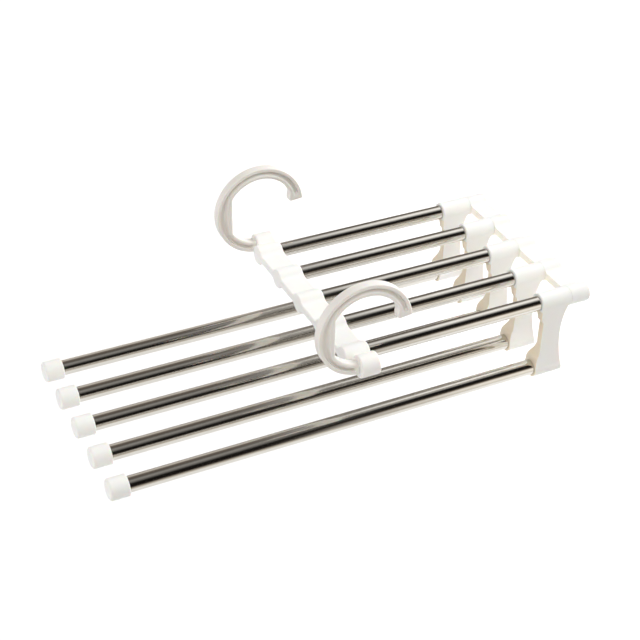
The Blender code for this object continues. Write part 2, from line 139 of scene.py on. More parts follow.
def linear(colour: str) -> tuple[float, float, float, float]:
    """Turn an sRGB hex colour into a linear one.

    Args:
        colour: six hex digits after a hash sign.

    Returns:
        The linear red, green and blue, and an alpha of 1.
    """
    parts = [int(colour[place : place + 2], 16) / 255 for place in (1, 3, 5)]
    red, green, blue = (p / 12.92 if p <= 0.04045 else ((p + 0.055) / 1.055) ** 2.4 for p in parts)
    return red, green, blue, 1.0


def add_node(
    tree: bpy.types.NodeTree, kind: str, settings: dict | None = None, links: dict | None = None
) -> bpy.types.Node:
    """Add a shader node with its settings and links.

    Args:
        tree: the node tree that gets the node.
        kind: the node's type.
        settings: values by the name of a property, or by the name or number of an input.
        links: output sockets by the name or number of the input that they feed.

    Returns:
        The new node.
    """
    node = tree.nodes.new(kind)
    for key, value in (settings or {}).items():
        if isinstance(key, str) and hasattr(node, key):
            setattr(node, key, value)
        else:
            node.inputs[key].default_value = value
    for key, socket in (links or {}).items():
        tree.links.new(socket, node.inputs[key])
    return node


def new_material(name: str) -> tuple[bpy.types.Material, bpy.types.NodeTree, bpy.types.Node]:
    """Start a material.

    Args:
        name: the material's name.

    Returns:
        The material, its emptied node tree and its output node.
    """
    material = bpy.data.materials.new(name)
    material.use_nodes = True
    tree = material.node_tree
    tree.nodes.clear()
    return material, tree, add_node(tree, "ShaderNodeOutputMaterial")


@dataclass(frozen=True)
class MouldedPlastic:
    """White polypropylene, injection moulded in a lightly blasted tool.

    To the eye it is a warm satin white: the highlight is broad and soft, thin edges let some light
    through and turn cream, and up close the skin has the fine grain of the tool. Faces that look
    left, and lie below a height over the piece's origin, can take a cream tint: painted warm light
    that stands in for the warm light those faces get, not a colour of the plastic.
    """

    name: str = "white_moulded_polypropylene"
    colour: str = "#FDFBF6"
    flow_colour: str = "#F9F6EE"
    # The next three fields paint warm light: a cream tint on faces that look left and lie below a height,
    # standing in for the warm light that falls on them.
    painted_light_colour: str = "#FDFBF6"
    painted_light_below: float = 0.0
    painted_light_normal: Point = (-0.5, -0.9)
    flow_width: float = 16 * MM
    # The real grain is about 0.1 mm wide, and is drawn as coarse as it needs to be to show.
    grain: float = 0.35 * MM
    grain_depth: float = 0.0022 * MM
    roughness: Point = (0.34, 0.44)
    ior: float = 1.49
    translucency: float = 0.35
    light_path: tuple[float, float, float] = (1.0, 0.62, 0.36)
    light_reach: float = 1.6 * MM

    def painted_light_share(
        self, tree: bpy.types.NodeTree, place: bpy.types.NodeSocket, normal: bpy.types.NodeSocket
    ) -> bpy.types.NodeSocket:
        """Tell the low faces that look left, where warm light is painted as a cream tint, from the others.

        Args:
            tree: the node tree that gets the nodes.
            place: where a point is in its piece.
            normal: where its face looks.

        Returns:
            A socket that is 1 on such a face, 0 on the others and between them where one turns.
        """
        start, full = self.painted_light_normal
        faces_right = add_node(tree, "ShaderNodeSeparateXYZ", links={"Vector": normal}).outputs["X"]
        painted_light_facing = add_node(
            tree, "ShaderNodeMapRange", {"From Min": start, "From Max": full}, {"Value": faces_right}
        ).outputs["Result"]
        height = add_node(tree, "ShaderNodeSeparateXYZ", links={"Vector": place}).outputs["Z"]
        painted_light_low = add_node(
            tree, "ShaderNodeMath", {"operation": "LESS_THAN", 1: self.painted_light_below}, {0: height}
        ).outputs["Value"]
        return add_node(
            tree, "ShaderNodeMath", {"operation": "MULTIPLY"}, {0: painted_light_facing, 1: painted_light_low}
        ).outputs["Value"]

    def material(self) -> bpy.types.Material:
        """Build the material.

        Returns:
            The material, for the pieces that are moulded in it.
        """
        material, tree, output = new_material(self.name)
        coordinates = add_node(tree, "ShaderNodeTexCoord").outputs
        place = coordinates["Object"]
        flow = add_node(
            tree,
            "ShaderNodeTexNoise",
            {"Scale": 1 / self.flow_width, "Detail": 2.0, "Roughness": 0.5},
            {"Vector": place},
        ).outputs["Fac"]
        colour = add_node(
            tree,
            "ShaderNodeMix",
            {"data_type": "RGBA", MIX_FIRST: linear(self.colour), MIX_SECOND: linear(self.flow_colour)},
            {0: flow},
        ).outputs[MIXED]
        # Painted warm light: the cream tint on low faces that look left.
        colour = add_node(
            tree,
            "ShaderNodeMix",
            {"data_type": "RGBA", MIX_SECOND: linear(self.painted_light_colour)},
            {0: self.painted_light_share(tree, place, coordinates["Normal"]), MIX_FIRST: colour},
        ).outputs[MIXED]
        low, high = self.roughness
        roughness = add_node(
            tree, "ShaderNodeMapRange", {"To Min": low, "To Max": high}, {"Value": flow}
        ).outputs["Result"]
        grain = add_node(
            tree,
            "ShaderNodeTexNoise",
            {"Scale": 1 / self.grain, "Detail": 3.0, "Roughness": 0.6},
            {"Vector": place},
        ).outputs["Fac"]
        bump = add_node(
            tree, "ShaderNodeBump", {"Strength": 1.0, "Distance": self.grain_depth}, {"Height": grain}
        ).outputs["Normal"]
        shader = add_node(
            tree,
            "ShaderNodeBsdfPrincipled",
            {
                "IOR": self.ior,
                "Subsurface Weight": self.translucency,
                "Subsurface Radius": self.light_path,
                "Subsurface Scale": self.light_reach,
            },
            {"Base Color": colour, "Roughness": roughness, "Normal": bump},
        )
        tree.links.new(shader.outputs["BSDF"], output.inputs["Surface"])
        return material


@dataclass(frozen=True)
class PolishedStainless:
    """Stainless steel tube, drawn and then belt polished along its length.

    To the eye it is a slightly warm mirror: it draws the room into long light and dark bands, which
    the drawing's slow waves bend a little and the polishing lines soften at their edges.
    """

    name: str = "polished_stainless_tube"
    colour: str = "#D9D6D0"
    stain_colour: str = "#CFCBC3"
    # The real lines lie closer than 0.05 mm, and are drawn as far apart as they need to be to show.
    line_spacing: float = 0.3 * MM
    line_length: float = 60 * MM
    line_depth: float = 0.0002 * MM
    wave_length: float = 9 * MM
    wave_depth: float = 0.003 * MM
    tube_shift: float = 10.0
    roughness: Point = (0.11, 0.17)

    def material(self) -> bpy.types.Material:
        """Build the material, with a pattern that differs from tube to tube.

        Returns:
            The material, for tubes that lie along their own X.
        """
        material, tree, output = new_material(self.name)
        place = add_node(tree, "ShaderNodeTexCoord").outputs["Object"]
        chance = add_node(tree, "ShaderNodeObjectInfo").outputs["Random"]
        shift = add_node(
            tree, "ShaderNodeMath", {"operation": "MULTIPLY", 1: self.tube_shift}, {0: chance}
        ).outputs["Value"]
        across = 1 / self.line_spacing
        stretched = add_node(
            tree,
            "ShaderNodeMapping",
            {"Scale": (1 / self.line_length, across, across)},
            {"Vector": place},
        ).outputs["Vector"]
        lines = add_node(
            tree,
            "ShaderNodeTexNoise",
            {"noise_dimensions": "4D", "Scale": 1.0, "Detail": 2.0, "Roughness": 0.6},
            {"Vector": stretched, "W": shift},
        ).outputs["Fac"]
        waves = add_node(
            tree,
            "ShaderNodeTexNoise",
            {"noise_dimensions": "4D", "Scale": 1 / self.wave_length, "Detail": 1.0, "Roughness": 0.4},
            {"Vector": place, "W": shift},
        ).outputs["Fac"]
        colour = add_node(
            tree,
            "ShaderNodeMix",
            {"data_type": "RGBA", MIX_FIRST: linear(self.colour), MIX_SECOND: linear(self.stain_colour)},
            {0: waves},
        ).outputs[MIXED]
        low, high = self.roughness
        roughness = add_node(
            tree, "ShaderNodeMapRange", {"To Min": low, "To Max": high}, {"Value": lines}
        ).outputs["Result"]
        waved = add_node(
            tree, "ShaderNodeBump", {"Strength": 1.0, "Distance": self.wave_depth}, {"Height": waves}
        ).outputs["Normal"]
        bump = add_node(
            tree,
            "ShaderNodeBump",
            {"Strength": 1.0, "Distance": self.line_depth},
            {"Height": lines, "Normal": waved},
        ).outputs["Normal"]
        shader = add_node(
            tree,
            "ShaderNodeBsdfPrincipled",
            {"Metallic": 1.0},
            {"Base Color": colour, "Roughness": roughness, "Normal": bump},
        )
        tree.links.new(shader.outputs["BSDF"], output.inputs["Surface"])
        return material


@dataclass(frozen=True)
class ZincPlatedSteel:
    """Steel screws and washers, barrel plated with bright zinc.

    To the eye it is a cool, slightly cloudy grey metal with small bluish patches.
    """

    name: str = "zinc_plated_steel"
    colour: str = "#C4C8CC"
    patch_colour: str = "#B3B8BF"
    patch_width: float = 1.2 * MM
    roughness: Point = (0.24, 0.38)

    def material(self) -> bpy.types.Material:
        """Build the material.

        Returns:
            The material, for small fasteners.
        """
        material, tree, output = new_material(self.name)
        place = add_node(tree, "ShaderNodeTexCoord").outputs["Object"]
        patches = add_node(
            tree,
            "ShaderNodeTexNoise",
            {"Scale": 1 / self.patch_width, "Detail": 4.0, "Roughness": 0.6},
            {"Vector": place},
        ).outputs["Fac"]
        colour = add_node(
            tree,
            "ShaderNodeMix",
            {"data_type": "RGBA", MIX_FIRST: linear(self.colour), MIX_SECOND: linear(self.patch_colour)},
            {0: patches},
        ).outputs[MIXED]
        low, high = self.roughness
        roughness = add_node(
            tree, "ShaderNodeMapRange", {"To Min": low, "To Max": high}, {"Value": patches}
        ).outputs["Result"]
        shader = add_node(
            tree,
            "ShaderNodeBsdfPrincipled",
            {"Metallic": 1.0},
            {"Base Color": colour, "Roughness": roughness},
        )
        tree.links.new(shader.outputs["BSDF"], output.inputs["Surface"])
        return material


def mesh_from(name: str, fill: Filler) -> bpy.types.Mesh:
    """Make a mesh.

    Args:
        name: the mesh's name.
        fill: the function that fills its bmesh.

    Returns:
        The mesh, shaded smooth with its hard edges sharp.
    """
    mesh = bpy.data.meshes.new(name)
    work = bmesh.new()
    fill(work)
    bmesh.ops.recalc_face_normals(work, faces=work.faces)
    work.to_mesh(mesh)
    work.free()
    mesh.shade_smooth()
    mesh.set_sharp_from_angle(angle=SHARP_ANGLE)
    return mesh


def combined(base: bpy.types.Mesh, steps: Sequence[tuple[Operation, bpy.types.Mesh]]) -> bpy.types.Mesh:
    """Cut or join meshes.

    Args:
        base: the mesh to start from.
        steps: each operation with its tool, in order.

    Returns:
        The mesh that is left.
    """
    body = bpy.data.objects.new(base.name, base)
    bpy.context.scene.collection.objects.link(body)
    tools = []
    for operation, mesh in steps:
        tool = bpy.data.objects.new(f"{base.name}_tool", mesh)
        bpy.context.scene.collection.objects.link(tool)
        modifier = body.modifiers.new(operation.name, "BOOLEAN")
        modifier.operation = operation.value
        modifier.solver = "EXACT"
        modifier.object = tool
        tools.append(tool)
    graph = bpy.context.evaluated_depsgraph_get()
    result = bpy.data.meshes.new_from_object(body.evaluated_get(graph), depsgraph=graph)
    for item in [body, *tools]:
        bpy.data.objects.remove(item, do_unlink=True)
    result.shade_smooth()
    result.set_sharp_from_angle(angle=SHARP_ANGLE)
    return result


def arc(centre: Point, radius: float, start: float, end: float) -> list[Point]:
    """Return the points of an arc.

    Args:
        centre: the arc's centre.
        radius: its radius.
        start: the angle of its first point.
        end: the angle of its last point; angles run counter-clockwise when end > start.

    Returns:
        The points, both ends included.
    """
    steps = max(2, math.ceil(abs(end - start) / ARC_STEP))
    turns = [start + (end - start) * step / steps for step in range(steps + 1)]
    return [(centre[0] + radius * math.cos(turn), centre[1] + radius * math.sin(turn)) for turn in turns]


def rim_steps(radius: float) -> list[Point]:
    """Return (advance, inset) pairs round a quarter circle, from the flat end to the full section."""
    turns = [QUARTER_TURN * step / RIM_STEPS for step in range(RIM_STEPS + 1)]
    return [(radius * (1 - math.cos(turn)), radius * (1 - math.sin(turn))) for turn in turns]


def rimmed(left: float, right: float, radius: float, rims: Point) -> list[Point]:
    """Draw the profile of a round bar along X.

    Args:
        left: the x of its left end.
        right: the x of its right end.
        radius: its radius.
        rims: the radii that round its left and its right end.

    Returns:
        The (x, radius) points, from left to right.
    """
    left_rim, right_rim = rims
    profile = [(left + advance, radius - inset) for advance, inset in rim_steps(left_rim)]
    profile += [(right - advance, radius - inset) for advance, inset in reversed(rim_steps(right_rim))]
    return profile


def without_repeats(points: Sequence[Point]) -> list[Point]:
    """Drop the repeated neighbours from a closed outline.

    Args:
        points: the outline's points in order.

    Returns:
        The points that are left.
    """
    kept: list[Point] = []
    for point in points:
        if not kept or math.dist(point, kept[-1]) > SAME_POINT:
            kept.append(point)
    if math.dist(kept[0], kept[-1]) <= SAME_POINT:
        kept.pop()
    return kept


def shrunk(outline: Sequence[Point], inset: float) -> list[Point]:
    """Move an outline's sides inwards.

    Args:
        outline: the closed outline, counter-clockwise.
        inset: how far each side moves.

    Returns:
        As many points, in the same order.
    """
    moved = []
    for index, point in enumerate(outline):
        before = outline[index - 1]
        after = outline[(index + 1) % len(outline)]
        first = Vector((point[0] - before[0], point[1] - before[1])).normalized()
        second = Vector((after[0] - point[0], after[1] - point[1])).normalized()
        across = Vector((-(first.y + second.y), first.x + second.x))
        moved.append(tuple(Vector(point) + across * (2 * inset / across.length_squared)))
    return moved


def loft(work: bmesh.types.BMesh, rings: Sequence[Sequence[Place]], ends: bool = True) -> None:
    """Join rings of equally many points.

    Args:
        work: the bmesh that gets the faces.
        rings: the rings, in order.
        ends: True for a flat face on the first and the last ring, False to join the last to the first.
    """
    rows = [[work.verts.new(point) for point in ring] for ring in rings]
    count = len(rows[0])
    pairs = list(zip(rows, rows[1:]))
    if ends:
        work.faces.new(rows[0])
        work.faces.new(rows[-1])
    else:
        pairs.append((rows[-1], rows[0]))
    for row, following in pairs:
        for index in range(count):
            after = (index + 1) % count
            work.faces.new((row[index], row[after], following[after], following[index]))


def turned(
    work: bmesh.types.BMesh, profile: Sequence[Point], sides: int, at: Point = (0.0, 0.0), ends: bool = True
) -> None:
    """Turn a profile about a line along X.

    Args:
        work: the bmesh that gets the faces.
        profile: (x, radius) points.
        sides: how many flat sides the round shape has.
        at: the y and z of the line.
        ends: True for flat ends, False for a profile that closes on itself.
    """
    turns = [2 * math.pi * side / sides for side in range(sides)]
    rings = [
        [(x, at[0] + radius * math.cos(turn), at[1] + radius * math.sin(turn)) for turn in turns]
        for x, radius in profile
    ]
    loft(work, rings, ends)


def turned_mesh(
    name: str, profile: Sequence[Point], sides: int, at: Point = (0.0, 0.0), ends: bool = True
) -> bpy.types.Mesh:
    """Make a mesh of one turned profile.

    Args:
        name: the mesh's name.
        profile: (x, radius) points.
        sides: how many flat sides the round shape has.
        at: the y and z of the line that it is turned about.
        ends: True for flat ends, False for a profile that closes on itself.

    Returns:
        The mesh.
    """

    def fill(work: bmesh.types.BMesh) -> None:
        """Turn the profile."""
        turned(work, profile, sides, at, ends)

    return mesh_from(name, fill)


def bore(left: float, right: float, radius: float, chamfer: float) -> list[Point]:
    """Return the profile of a drill from left to right that also chamfers the mouth at its left."""
    return [(left - CUT_PAST, radius + chamfer + CUT_PAST), (left + chamfer, radius), (right, radius)]


@dataclass
class SubAssembly:
    """Pieces that are built and dressed together."""

    plastic: bpy.types.Material
    steel: bpy.types.Material
    zinc: bpy.types.Material
    fit_gap: float = 0.3 * MM
    running_gap: float = 0.06 * MM

    def dress(self, node: str, suffix: str, body: str, slot: Slot, mesh: bpy.types.Mesh, at: Place) -> None:
        """Put a piece in the scene in place of a node of the frame.

        Args:
            node: the node that the piece stands for.
            suffix: what follows the node's name in the piece's name.
            body: the body that it rides on.
            slot: the slot that it takes its finish from.
            mesh: its mesh, about its own origin.
            at: where that origin lies.
        """
        piece = bpy.data.objects.new(f"{node}_{suffix}", mesh)
        piece.location = at
        bpy.context.scene.collection.objects.link(piece)
        finishes = {Slot.PLASTIC: self.plastic, Slot.STEEL: self.steel, Slot.ZINC: self.zinc}
        mesh.materials.clear()
        mesh.materials.append(finishes[slot])
        smooth = piece.modifiers.new("even_normals", "WEIGHTED_NORMAL")
        smooth.keep_sharp = True
        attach(piece, body)
        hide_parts(node)
        log.info("%s: %d vertices on %s", piece.name, len(mesh.vertices), body)


@dataclass
class TubeBar(SubAssembly):
    """A moulded bar that holds the rail tubes in a row of barrels joined by webs."""

    web: float = 5.0 * MM
    fillet: float = 5.5 * MM
    rim: float = 0.8 * MM
    mouth_chamfer: float = 0.1 * MM

    def __post_init__(self) -> None:
        """Read from the frame where the tubes are, and how far the end bar's outer barrels reach."""
        self.end_bar = Box.of("end_bar")
        tubes = [Box.of(f"rail_tube_{index}") for index in range(1, ARM_COUNT + 1)]
        self.tube_y = [tube.centre.y for tube in tubes]
        self.rail_z = tubes[0].centre.z
        self.barrel_radius = self.end_bar.size.y / 2 - self.tube_y[0]
        self.bore_radius = tubes[0].size.z / 2 + self.running_gap

    def outline(self) -> list[Point]:
        """Draw a bar's outline about the rail tubes' level.

        Returns:
            The (y, z) points, counter-clockwise.
        """
        fillet_z = self.web / 2 + self.fillet
        fillet_y = math.sqrt((self.barrel_radius + self.fillet) ** 2 - fillet_z**2)
        lean = math.atan2(fillet_z, fillet_y)
        last = len(self.tube_y) - 1
        top: list[Point] = []
        for index, y in enumerate(self.tube_y):
            start = lean if index else 0.0
            end = math.pi - lean if index < last else math.pi
            top += arc((y, 0), self.barrel_radius, start, end)
            if index < last:
                next_fillet = (self.tube_y[index + 1] + fillet_y, fillet_z)
                top += arc((y - fillet_y, fillet_z), self.fillet, -lean, -QUARTER_TURN)
                top += arc(next_fillet, self.fillet, -QUARTER_TURN, lean - math.pi)
        return without_repeats(top + [(y, -z) for y, z in reversed(top)])

    def body(self, left: float, right: float, left_rim: float) -> bpy.types.Mesh:
        """Make a bar without its holes.

        Args:
            left: the x of its left face.
            right: the x of its right face.
            left_rim: the radius that rounds its left edge.

        Returns:
            The bar's mesh, with the rail tubes' level at z 0.
        """
        outline = self.outline()
        stations = [(left + advance, inset) for advance, inset in rim_steps(left_rim)]
        stations += [(right - advance, inset) for advance, inset in reversed(rim_steps(self.rim))]

        def fill(work: bmesh.types.BMesh) -> None:
            """Loft the outline along X."""
            loft(work, [[(x, y, z) for y, z in shrunk(outline, inset)] for x, inset in stations])

        return mesh_from("bar", fill)


@dataclass
class HookBar(TubeBar):
    """The bar on the left, with a pivot barrel for each hook."""

    socket_depth: float = 12.5 * MM
    pivot_left: float = -3.0 * MM
    pivot_rim: float = 0.9 * MM
    pivot_wall: float = 3.8 * MM
    counterbore_depth: float = 3.3 * MM
    counterbore_wall: float = 2.8 * MM

    def __post_init__(self) -> None:
        """Read from the frame where the hooks turn, too."""
        super().__post_init__()
        self.box = Box.of("hook_bar")
        self.pivot_y = Box.of("hook_far").centre.y
        self.pivot_radius = self.box.size.y / 2 - self.pivot_y

    def pivot(self, side: Side) -> bpy.types.Mesh:
        """Make the barrel that a hook turns in.

        Args:
            side: which hook's barrel it is.

        Returns:
            The barrel's mesh, with the rail tubes' level at z 0.
        """
        rims = (self.pivot_rim, self.rim)
        profile = rimmed(self.pivot_left, self.box.high.x, self.pivot_radius, rims)
        return turned_mesh("pivot", profile, TUBE_SIDES, (side.value * self.pivot_y, 0))

    def mesh(self) -> bpy.types.Mesh:
        """Make the bar with its sockets and pivots.

        Returns:
            The bar's mesh, with the rail tubes' level at z 0.
        """
        left, right = self.box.low.x, self.box.high.x
        spigot_radius = self.pivot_radius - self.pivot_wall
        counterbore_radius = self.pivot_radius - self.counterbore_wall
        floor = right - self.counterbore_depth

        def fill_holes(work: bmesh.types.BMesh) -> None:
            """Add the drills of the sockets and the pivots.

            Args:
                work: the bmesh that gets their faces.
            """
            for y in self.tube_y:
                profile = bore(-right, self.socket_depth - right, self.bore_radius, self.mouth_chamfer)
                turned(work, [(-x, radius) for x, radius in profile], BORE_SIDES, (y, 0))
            for side in Side:
                profile = [
                    (self.pivot_left - CUT_PAST, spigot_radius),
                    (floor, spigot_radius),
                    (floor, counterbore_radius),
                    (right - self.mouth_chamfer, counterbore_radius),
                    (right + CUT_PAST, counterbore_radius + self.mouth_chamfer + CUT_PAST),
                ]
                turned(work, profile, BORE_SIDES, (side.value * self.pivot_y, 0))

        steps = [(Operation.JOIN, self.pivot(side)) for side in Side]
        steps.append((Operation.CUT, mesh_from("sockets", fill_holes)))
        return combined(self.body(left, right, self.rim), steps)

    def build(self) -> None:
        """Build and dress the bar."""
        self.dress("hook_bar", "moulding", "frame", Slot.PLASTIC, self.mesh(), (0, 0, self.rail_z))


@dataclass
class EndBar(TubeBar):
    """The bar on the right, which the brackets meet when they are pulled out."""

    socket_depth: float = 10.5 * MM
    seam_rim: float = 0.25 * MM

    def mesh(self) -> bpy.types.Mesh:
        """Make the bar with its sockets.

        Returns:
            The bar's mesh, with the rail tubes' level at z 0.
        """
        left = self.end_bar.low.x - self.fit_gap + self.running_gap
        right = self.end_bar.high.x
        drill = bore(left, left + self.socket_depth, self.bore_radius, self.mouth_chamfer)

        def fill_holes(work: bmesh.types.BMesh) -> None:
            """Add the drills of the sockets."""
            for y in self.tube_y:
                turned(work, drill, BORE_SIDES, (y, 0))

        sockets = mesh_from("sockets", fill_holes)
        return combined(self.body(left, right, self.seam_rim), [(Operation.CUT, sockets)])

    def build(self) -> None:
        """Build and dress the bar."""
        self.dress("end_bar", "moulding", "frame", Slot.PLASTIC, self.mesh(), (0, 0, self.rail_z))


@dataclass
class SteelTubes(SubAssembly):
    """The rail tubes, and the hanging rods that trousers hang over."""

    wall: float = 0.8 * MM
    rim: float = 0.15 * MM

    def tube_mesh(self, box: Box) -> bpy.types.Mesh:
        """Return a tube with its ends deburred, about its own axis.

        Args:
            box: the space that the tube fills.

        Returns:
            The tube's mesh, with its places along X as in the frame.
        """
        outer = box.size.z / 2
        inner = outer - self.wall
        steps = rim_steps(self.rim)
        profile = rimmed(box.low.x, box.high.x, outer, (self.rim, self.rim))
        profile += [(box.high.x - advance, inner + inset) for advance, inset in steps]
        profile += [(box.low.x + advance, inner + inset) for advance, inset in reversed(steps)]
        return turned_mesh("tube", profile, TUBE_SIDES, ends=False)

    def build(self) -> None:
        """Build and dress the rail tubes and the hanging rods."""
        for kind, body in (("rail_tube", "tube"), ("hanging_rod", "arm")):
            mesh = self.tube_mesh(Box.of(f"{kind}_1"))
            for index in range(1, ARM_COUNT + 1):
                centre = Box.of(f"{kind}_{index}").centre
                place = (0, centre.y, centre.z)
                self.dress(f"{kind}_{index}", "steel", f"{body}_{index}", Slot.STEEL, mesh, place)


@dataclass
class RodCaps(SubAssembly):
    """The domed caps on the free ends of the hanging rods."""

    end_wall: float = 2.6 * MM
    dome: float = 1.8 * MM
    dome_steps: int = 10
    rim: float = 0.6 * MM
    wall: float = 1.4 * MM

    def cap_mesh(self, box: Box) -> bpy.types.Mesh:
        """Make a cap about its own axis.

        Args:
            box: the space that the cap fills.

        Returns:
            The cap's mesh, with its places along X as in the frame.
        """
        outer = box.size.z / 2
        inner = outer - self.wall
        left, right = box.low.x, box.high.x
        turns = [QUARTER_TURN * step / self.dome_steps for step in range(self.dome_steps + 1)]
        profile = [
            (left + self.dome * (1 - math.cos(turn)), outer - self.dome * (1 - math.sin(turn)))
            for turn in turns
        ]
        profile += [(right - advance, outer - inset) for advance, inset in reversed(rim_steps(self.rim))]
        profile += [(right, inner), (left + self.end_wall, inner)]
        return turned_mesh("cap", profile, TUBE_SIDES)

    def build(self) -> None:
        """Build and dress the caps."""
        mesh = self.cap_mesh(Box.of("rod_cap_1"))
        for index in range(1, ARM_COUNT + 1):
            centre = Box.of(f"rod_cap_{index}").centre
            place = (0, centre.y, centre.z)
            self.dress(f"rod_cap_{index}", "moulding", f"arm_{index}", Slot.PLASTIC, mesh, place)


class Edge:
    """One side of a plate, as x or y against z, read from a chain of curves that run downwards."""

    def __init__(self, start: Point) -> None:
        """Start the chain at an (x, z) or a (y, z) point."""
        self.points: list[Point] = [start]

    def line(self, end: Point) -> "Edge":
        """Go straight to end."""
        self.points.append(end)
        return self

    def curve(self, pull: Point, last_pull: Point, end: Point) -> "Edge":
        """Go to end on a cubic curve.

        Args:
            pull: the curve's second corner; its first is where the chain stands.
            last_pull: its third corner.
            end: its last corner.

        Returns:
            The chain itself.
        """
        corners = (self.points[-1], pull, last_pull, end)
        for step in range(1, CURVE_STEPS + 1):
            t = step / CURVE_STEPS
            weights = ((1 - t) ** 3, 3 * t * (1 - t) ** 2, 3 * t * t * (1 - t), t**3)
            point = [sum(w * c[axis] for w, c in zip(weights, corners)) for axis in range(2)]
            self.points.append((point[0], point[1]))
        return self

    def at(self, z: float) -> float:
        """Read the chain at a height.

        Args:
            z: the height.

        Returns:
            The chain's x or y there; past an end, what it is at that end.
        """
        if z >= self.points[0][1]:
            return self.points[0][0]
        for (x, top), (next_x, bottom) in zip(self.points, self.points[1:]):
            if bottom <= z <= top:
                share = (top - z) / max(top - bottom, SAME_POINT)
                return x + (next_x - x) * share
        return self.points[-1][0]


@dataclass
class ArmBrackets(SubAssembly):
    """The brackets that slide and swing on the rail tubes and carry the hanging rods."""

    rod_socket_depth: float = 17.5 * MM
    barrel_wall: float = 1.49 * MM
    plate_thickness: float = 4.7 * MM
    plate_inset: float = 0.25 * MM
    upper_flare_start: float = 13 * MM
    swell_top: float = 22.5 * MM
    swell_upper_pull: float = 14.5 * MM
    swell_lower_pull: float = 12.5 * MM
    waist_right_cut: float = 5.7 * MM
    waist_right_top: float = 2 * MM
    waist_right_middle: float = 22 * MM
    waist_right_foot: float = 2 * MM
    waist_lean: float = 3.7 * MM
    shoulder_pull: float = 2.4 * MM
    shoulder_drop: float = 0.6 * MM
    waist_left_cut: float = 1.8 * MM
    waist_left_top: float = 9 * MM
    waist_left_step: float = 4 * MM
    waist_left_flare: float = 15 * MM
    waist_left_foot: float = 6.5 * MM
    foot_cut: float = 1 * MM
    foot_corner: float = 3 * MM
    rim: float = 0.6 * MM
    seam_rim: float = 0.25 * MM
    mouth_chamfer: float = 0.1 * MM
    station_step: float = 0.5 * MM

    def __post_init__(self) -> None:
        """Read the bracket's length and drop and the tubes' sizes from the frame, and draw its sides."""
        self.box = Box.of("arm_bracket_1")
        tube, rod = Box.of("rail_tube_1"), Box.of("hanging_rod_1")
        self.drop = tube.centre.z - rod.centre.z
        self.bore_radius = tube.size.z / 2 + self.running_gap
        self.rod_bore_radius = rod.size.z / 2 + self.running_gap
        self.boss_radius = self.bore_radius + self.barrel_wall
        self.radius = self.boss_radius - self.plate_inset
        self.socket_radius = self.rod_bore_radius + self.barrel_wall
        self.length = self.box.size.x
        self.front_y = -self.radius
        self.back_y = self.front_y + self.plate_thickness
        self.left_edge = self.left_side()
        self.right_edge = self.right_side()
        self.swell = self.back_swell()

    def left_side(self) -> Edge:
        """Draw the plate's left side, below the boss axis.

        Returns:
            The side, as x against z.
        """
        step_foot = -self.waist_left_top - self.waist_left_step
        step_middle = -self.waist_left_top - self.waist_left_step / 2
        flare_top = self.waist_left_flare - self.drop
        flare_foot = self.waist_left_foot - self.drop
        flare_middle = (flare_top + flare_foot) / 2
        left = self.plate_inset
        cut = self.waist_left_cut
        edge = Edge((left, -self.waist_left_top))
        edge.curve((left, step_middle), (cut, step_middle), (cut, step_foot))
        edge.line((cut, flare_top))
        return edge.curve((cut, flare_middle), (left, flare_middle), (left, flare_foot))

    def right_side(self) -> Edge:
        """Draw the plate's right side, with its shoulder, waist and rounded foot corner.

        Returns:
            The side, as x against z.
        """
        right = self.length - self.plate_inset
        foot_right = self.length - self.foot_cut
        waist = self.length - self.waist_right_cut
        top = -self.waist_right_top
        middle = -self.waist_right_middle
        foot = -self.waist_right_foot - self.drop
        rise = (self.waist_right_middle - self.waist_right_top) / 2
        pull = (middle - foot) / 3
        bottom = -self.drop - self.socket_radius
        corner = (foot_right - self.foot_corner, bottom + self.foot_corner)
        shoulder = (right - self.shoulder_pull, top - self.shoulder_drop)
        edge = Edge((right, top))
        edge.curve(shoulder, (waist, middle + rise), (waist, middle))
        edge.curve((waist, middle - pull), (self.length - self.waist_lean, foot + pull), (foot_right, foot))
        for point in arc(corner, self.foot_corner, 0, -QUARTER_TURN):
            edge.line(point)
        return edge

    def back_swell(self) -> Edge:
        """Draw the lower back of the plate, where it swells into the rod socket.

        Returns:
            The back, as y against z.
        """
        top, upper, lower = (
            (y, height - self.drop)
            for y, height in (
                (self.back_y, self.swell_top),
                (self.back_y, self.swell_upper_pull),
                (self.socket_radius, self.swell_lower_pull),
            )
        )
        return Edge(top).curve(upper, lower, (self.socket_radius, -self.drop))

    def front(self, z: float) -> float:
        """Find the plate's front.

        Args:
            z: a height from the boss axis.

        Returns:
            The y of the front there.
        """
        if z >= 0:
            return -math.sqrt(max(0.0, self.radius**2 - z**2))
        round_y = -math.sqrt(max(0.0, self.socket_radius**2 - (z + self.drop) ** 2))
        return min(round_y, self.front_y) if z > -self.drop else round_y

    def back(self, z: float) -> float:
        """Find the plate's back, with its flares into the boss and the rod socket.

        Args:
            z: a height from the boss axis.

        Returns:
            The y of the back there.
        """
        if z <= -self.drop:
            return math.sqrt(max(0.0, self.socket_radius**2 - (z + self.drop) ** 2))
        if z <= self.swell_top - self.drop:
            return self.swell.at(z)
        away = self.upper_flare_start
        flare = (away**2 + self.back_y**2 - self.radius**2) / (2 * (self.radius + self.back_y))
        tangent = self.radius * away / math.hypot(away, self.back_y + flare)
        if -z <= tangent:
            return math.sqrt(max(0.0, self.radius**2 - z**2))
        if -z < away:
            return self.back_y + flare - math.sqrt(flare**2 - (away + z) ** 2)
        return self.back_y

    def heights(self) -> list[float]:
        """Choose the heights at which the bracket's sections are drawn.

        Returns:
            The heights from the boss axis, from the top down.
        """
        quarter = [QUARTER_TURN - ARC_STEP * step for step in range(int(QUARTER_TURN / ARC_STEP))]
        top = [self.radius * math.sin(turn) for turn in quarter]
        count = math.ceil(self.drop / self.station_step)
        middle = [-self.drop * step / count for step in range(count + 1)]
        bottom = [-self.drop - self.socket_radius * math.sin(turn) for turn in reversed(quarter)]
        return top + middle + bottom

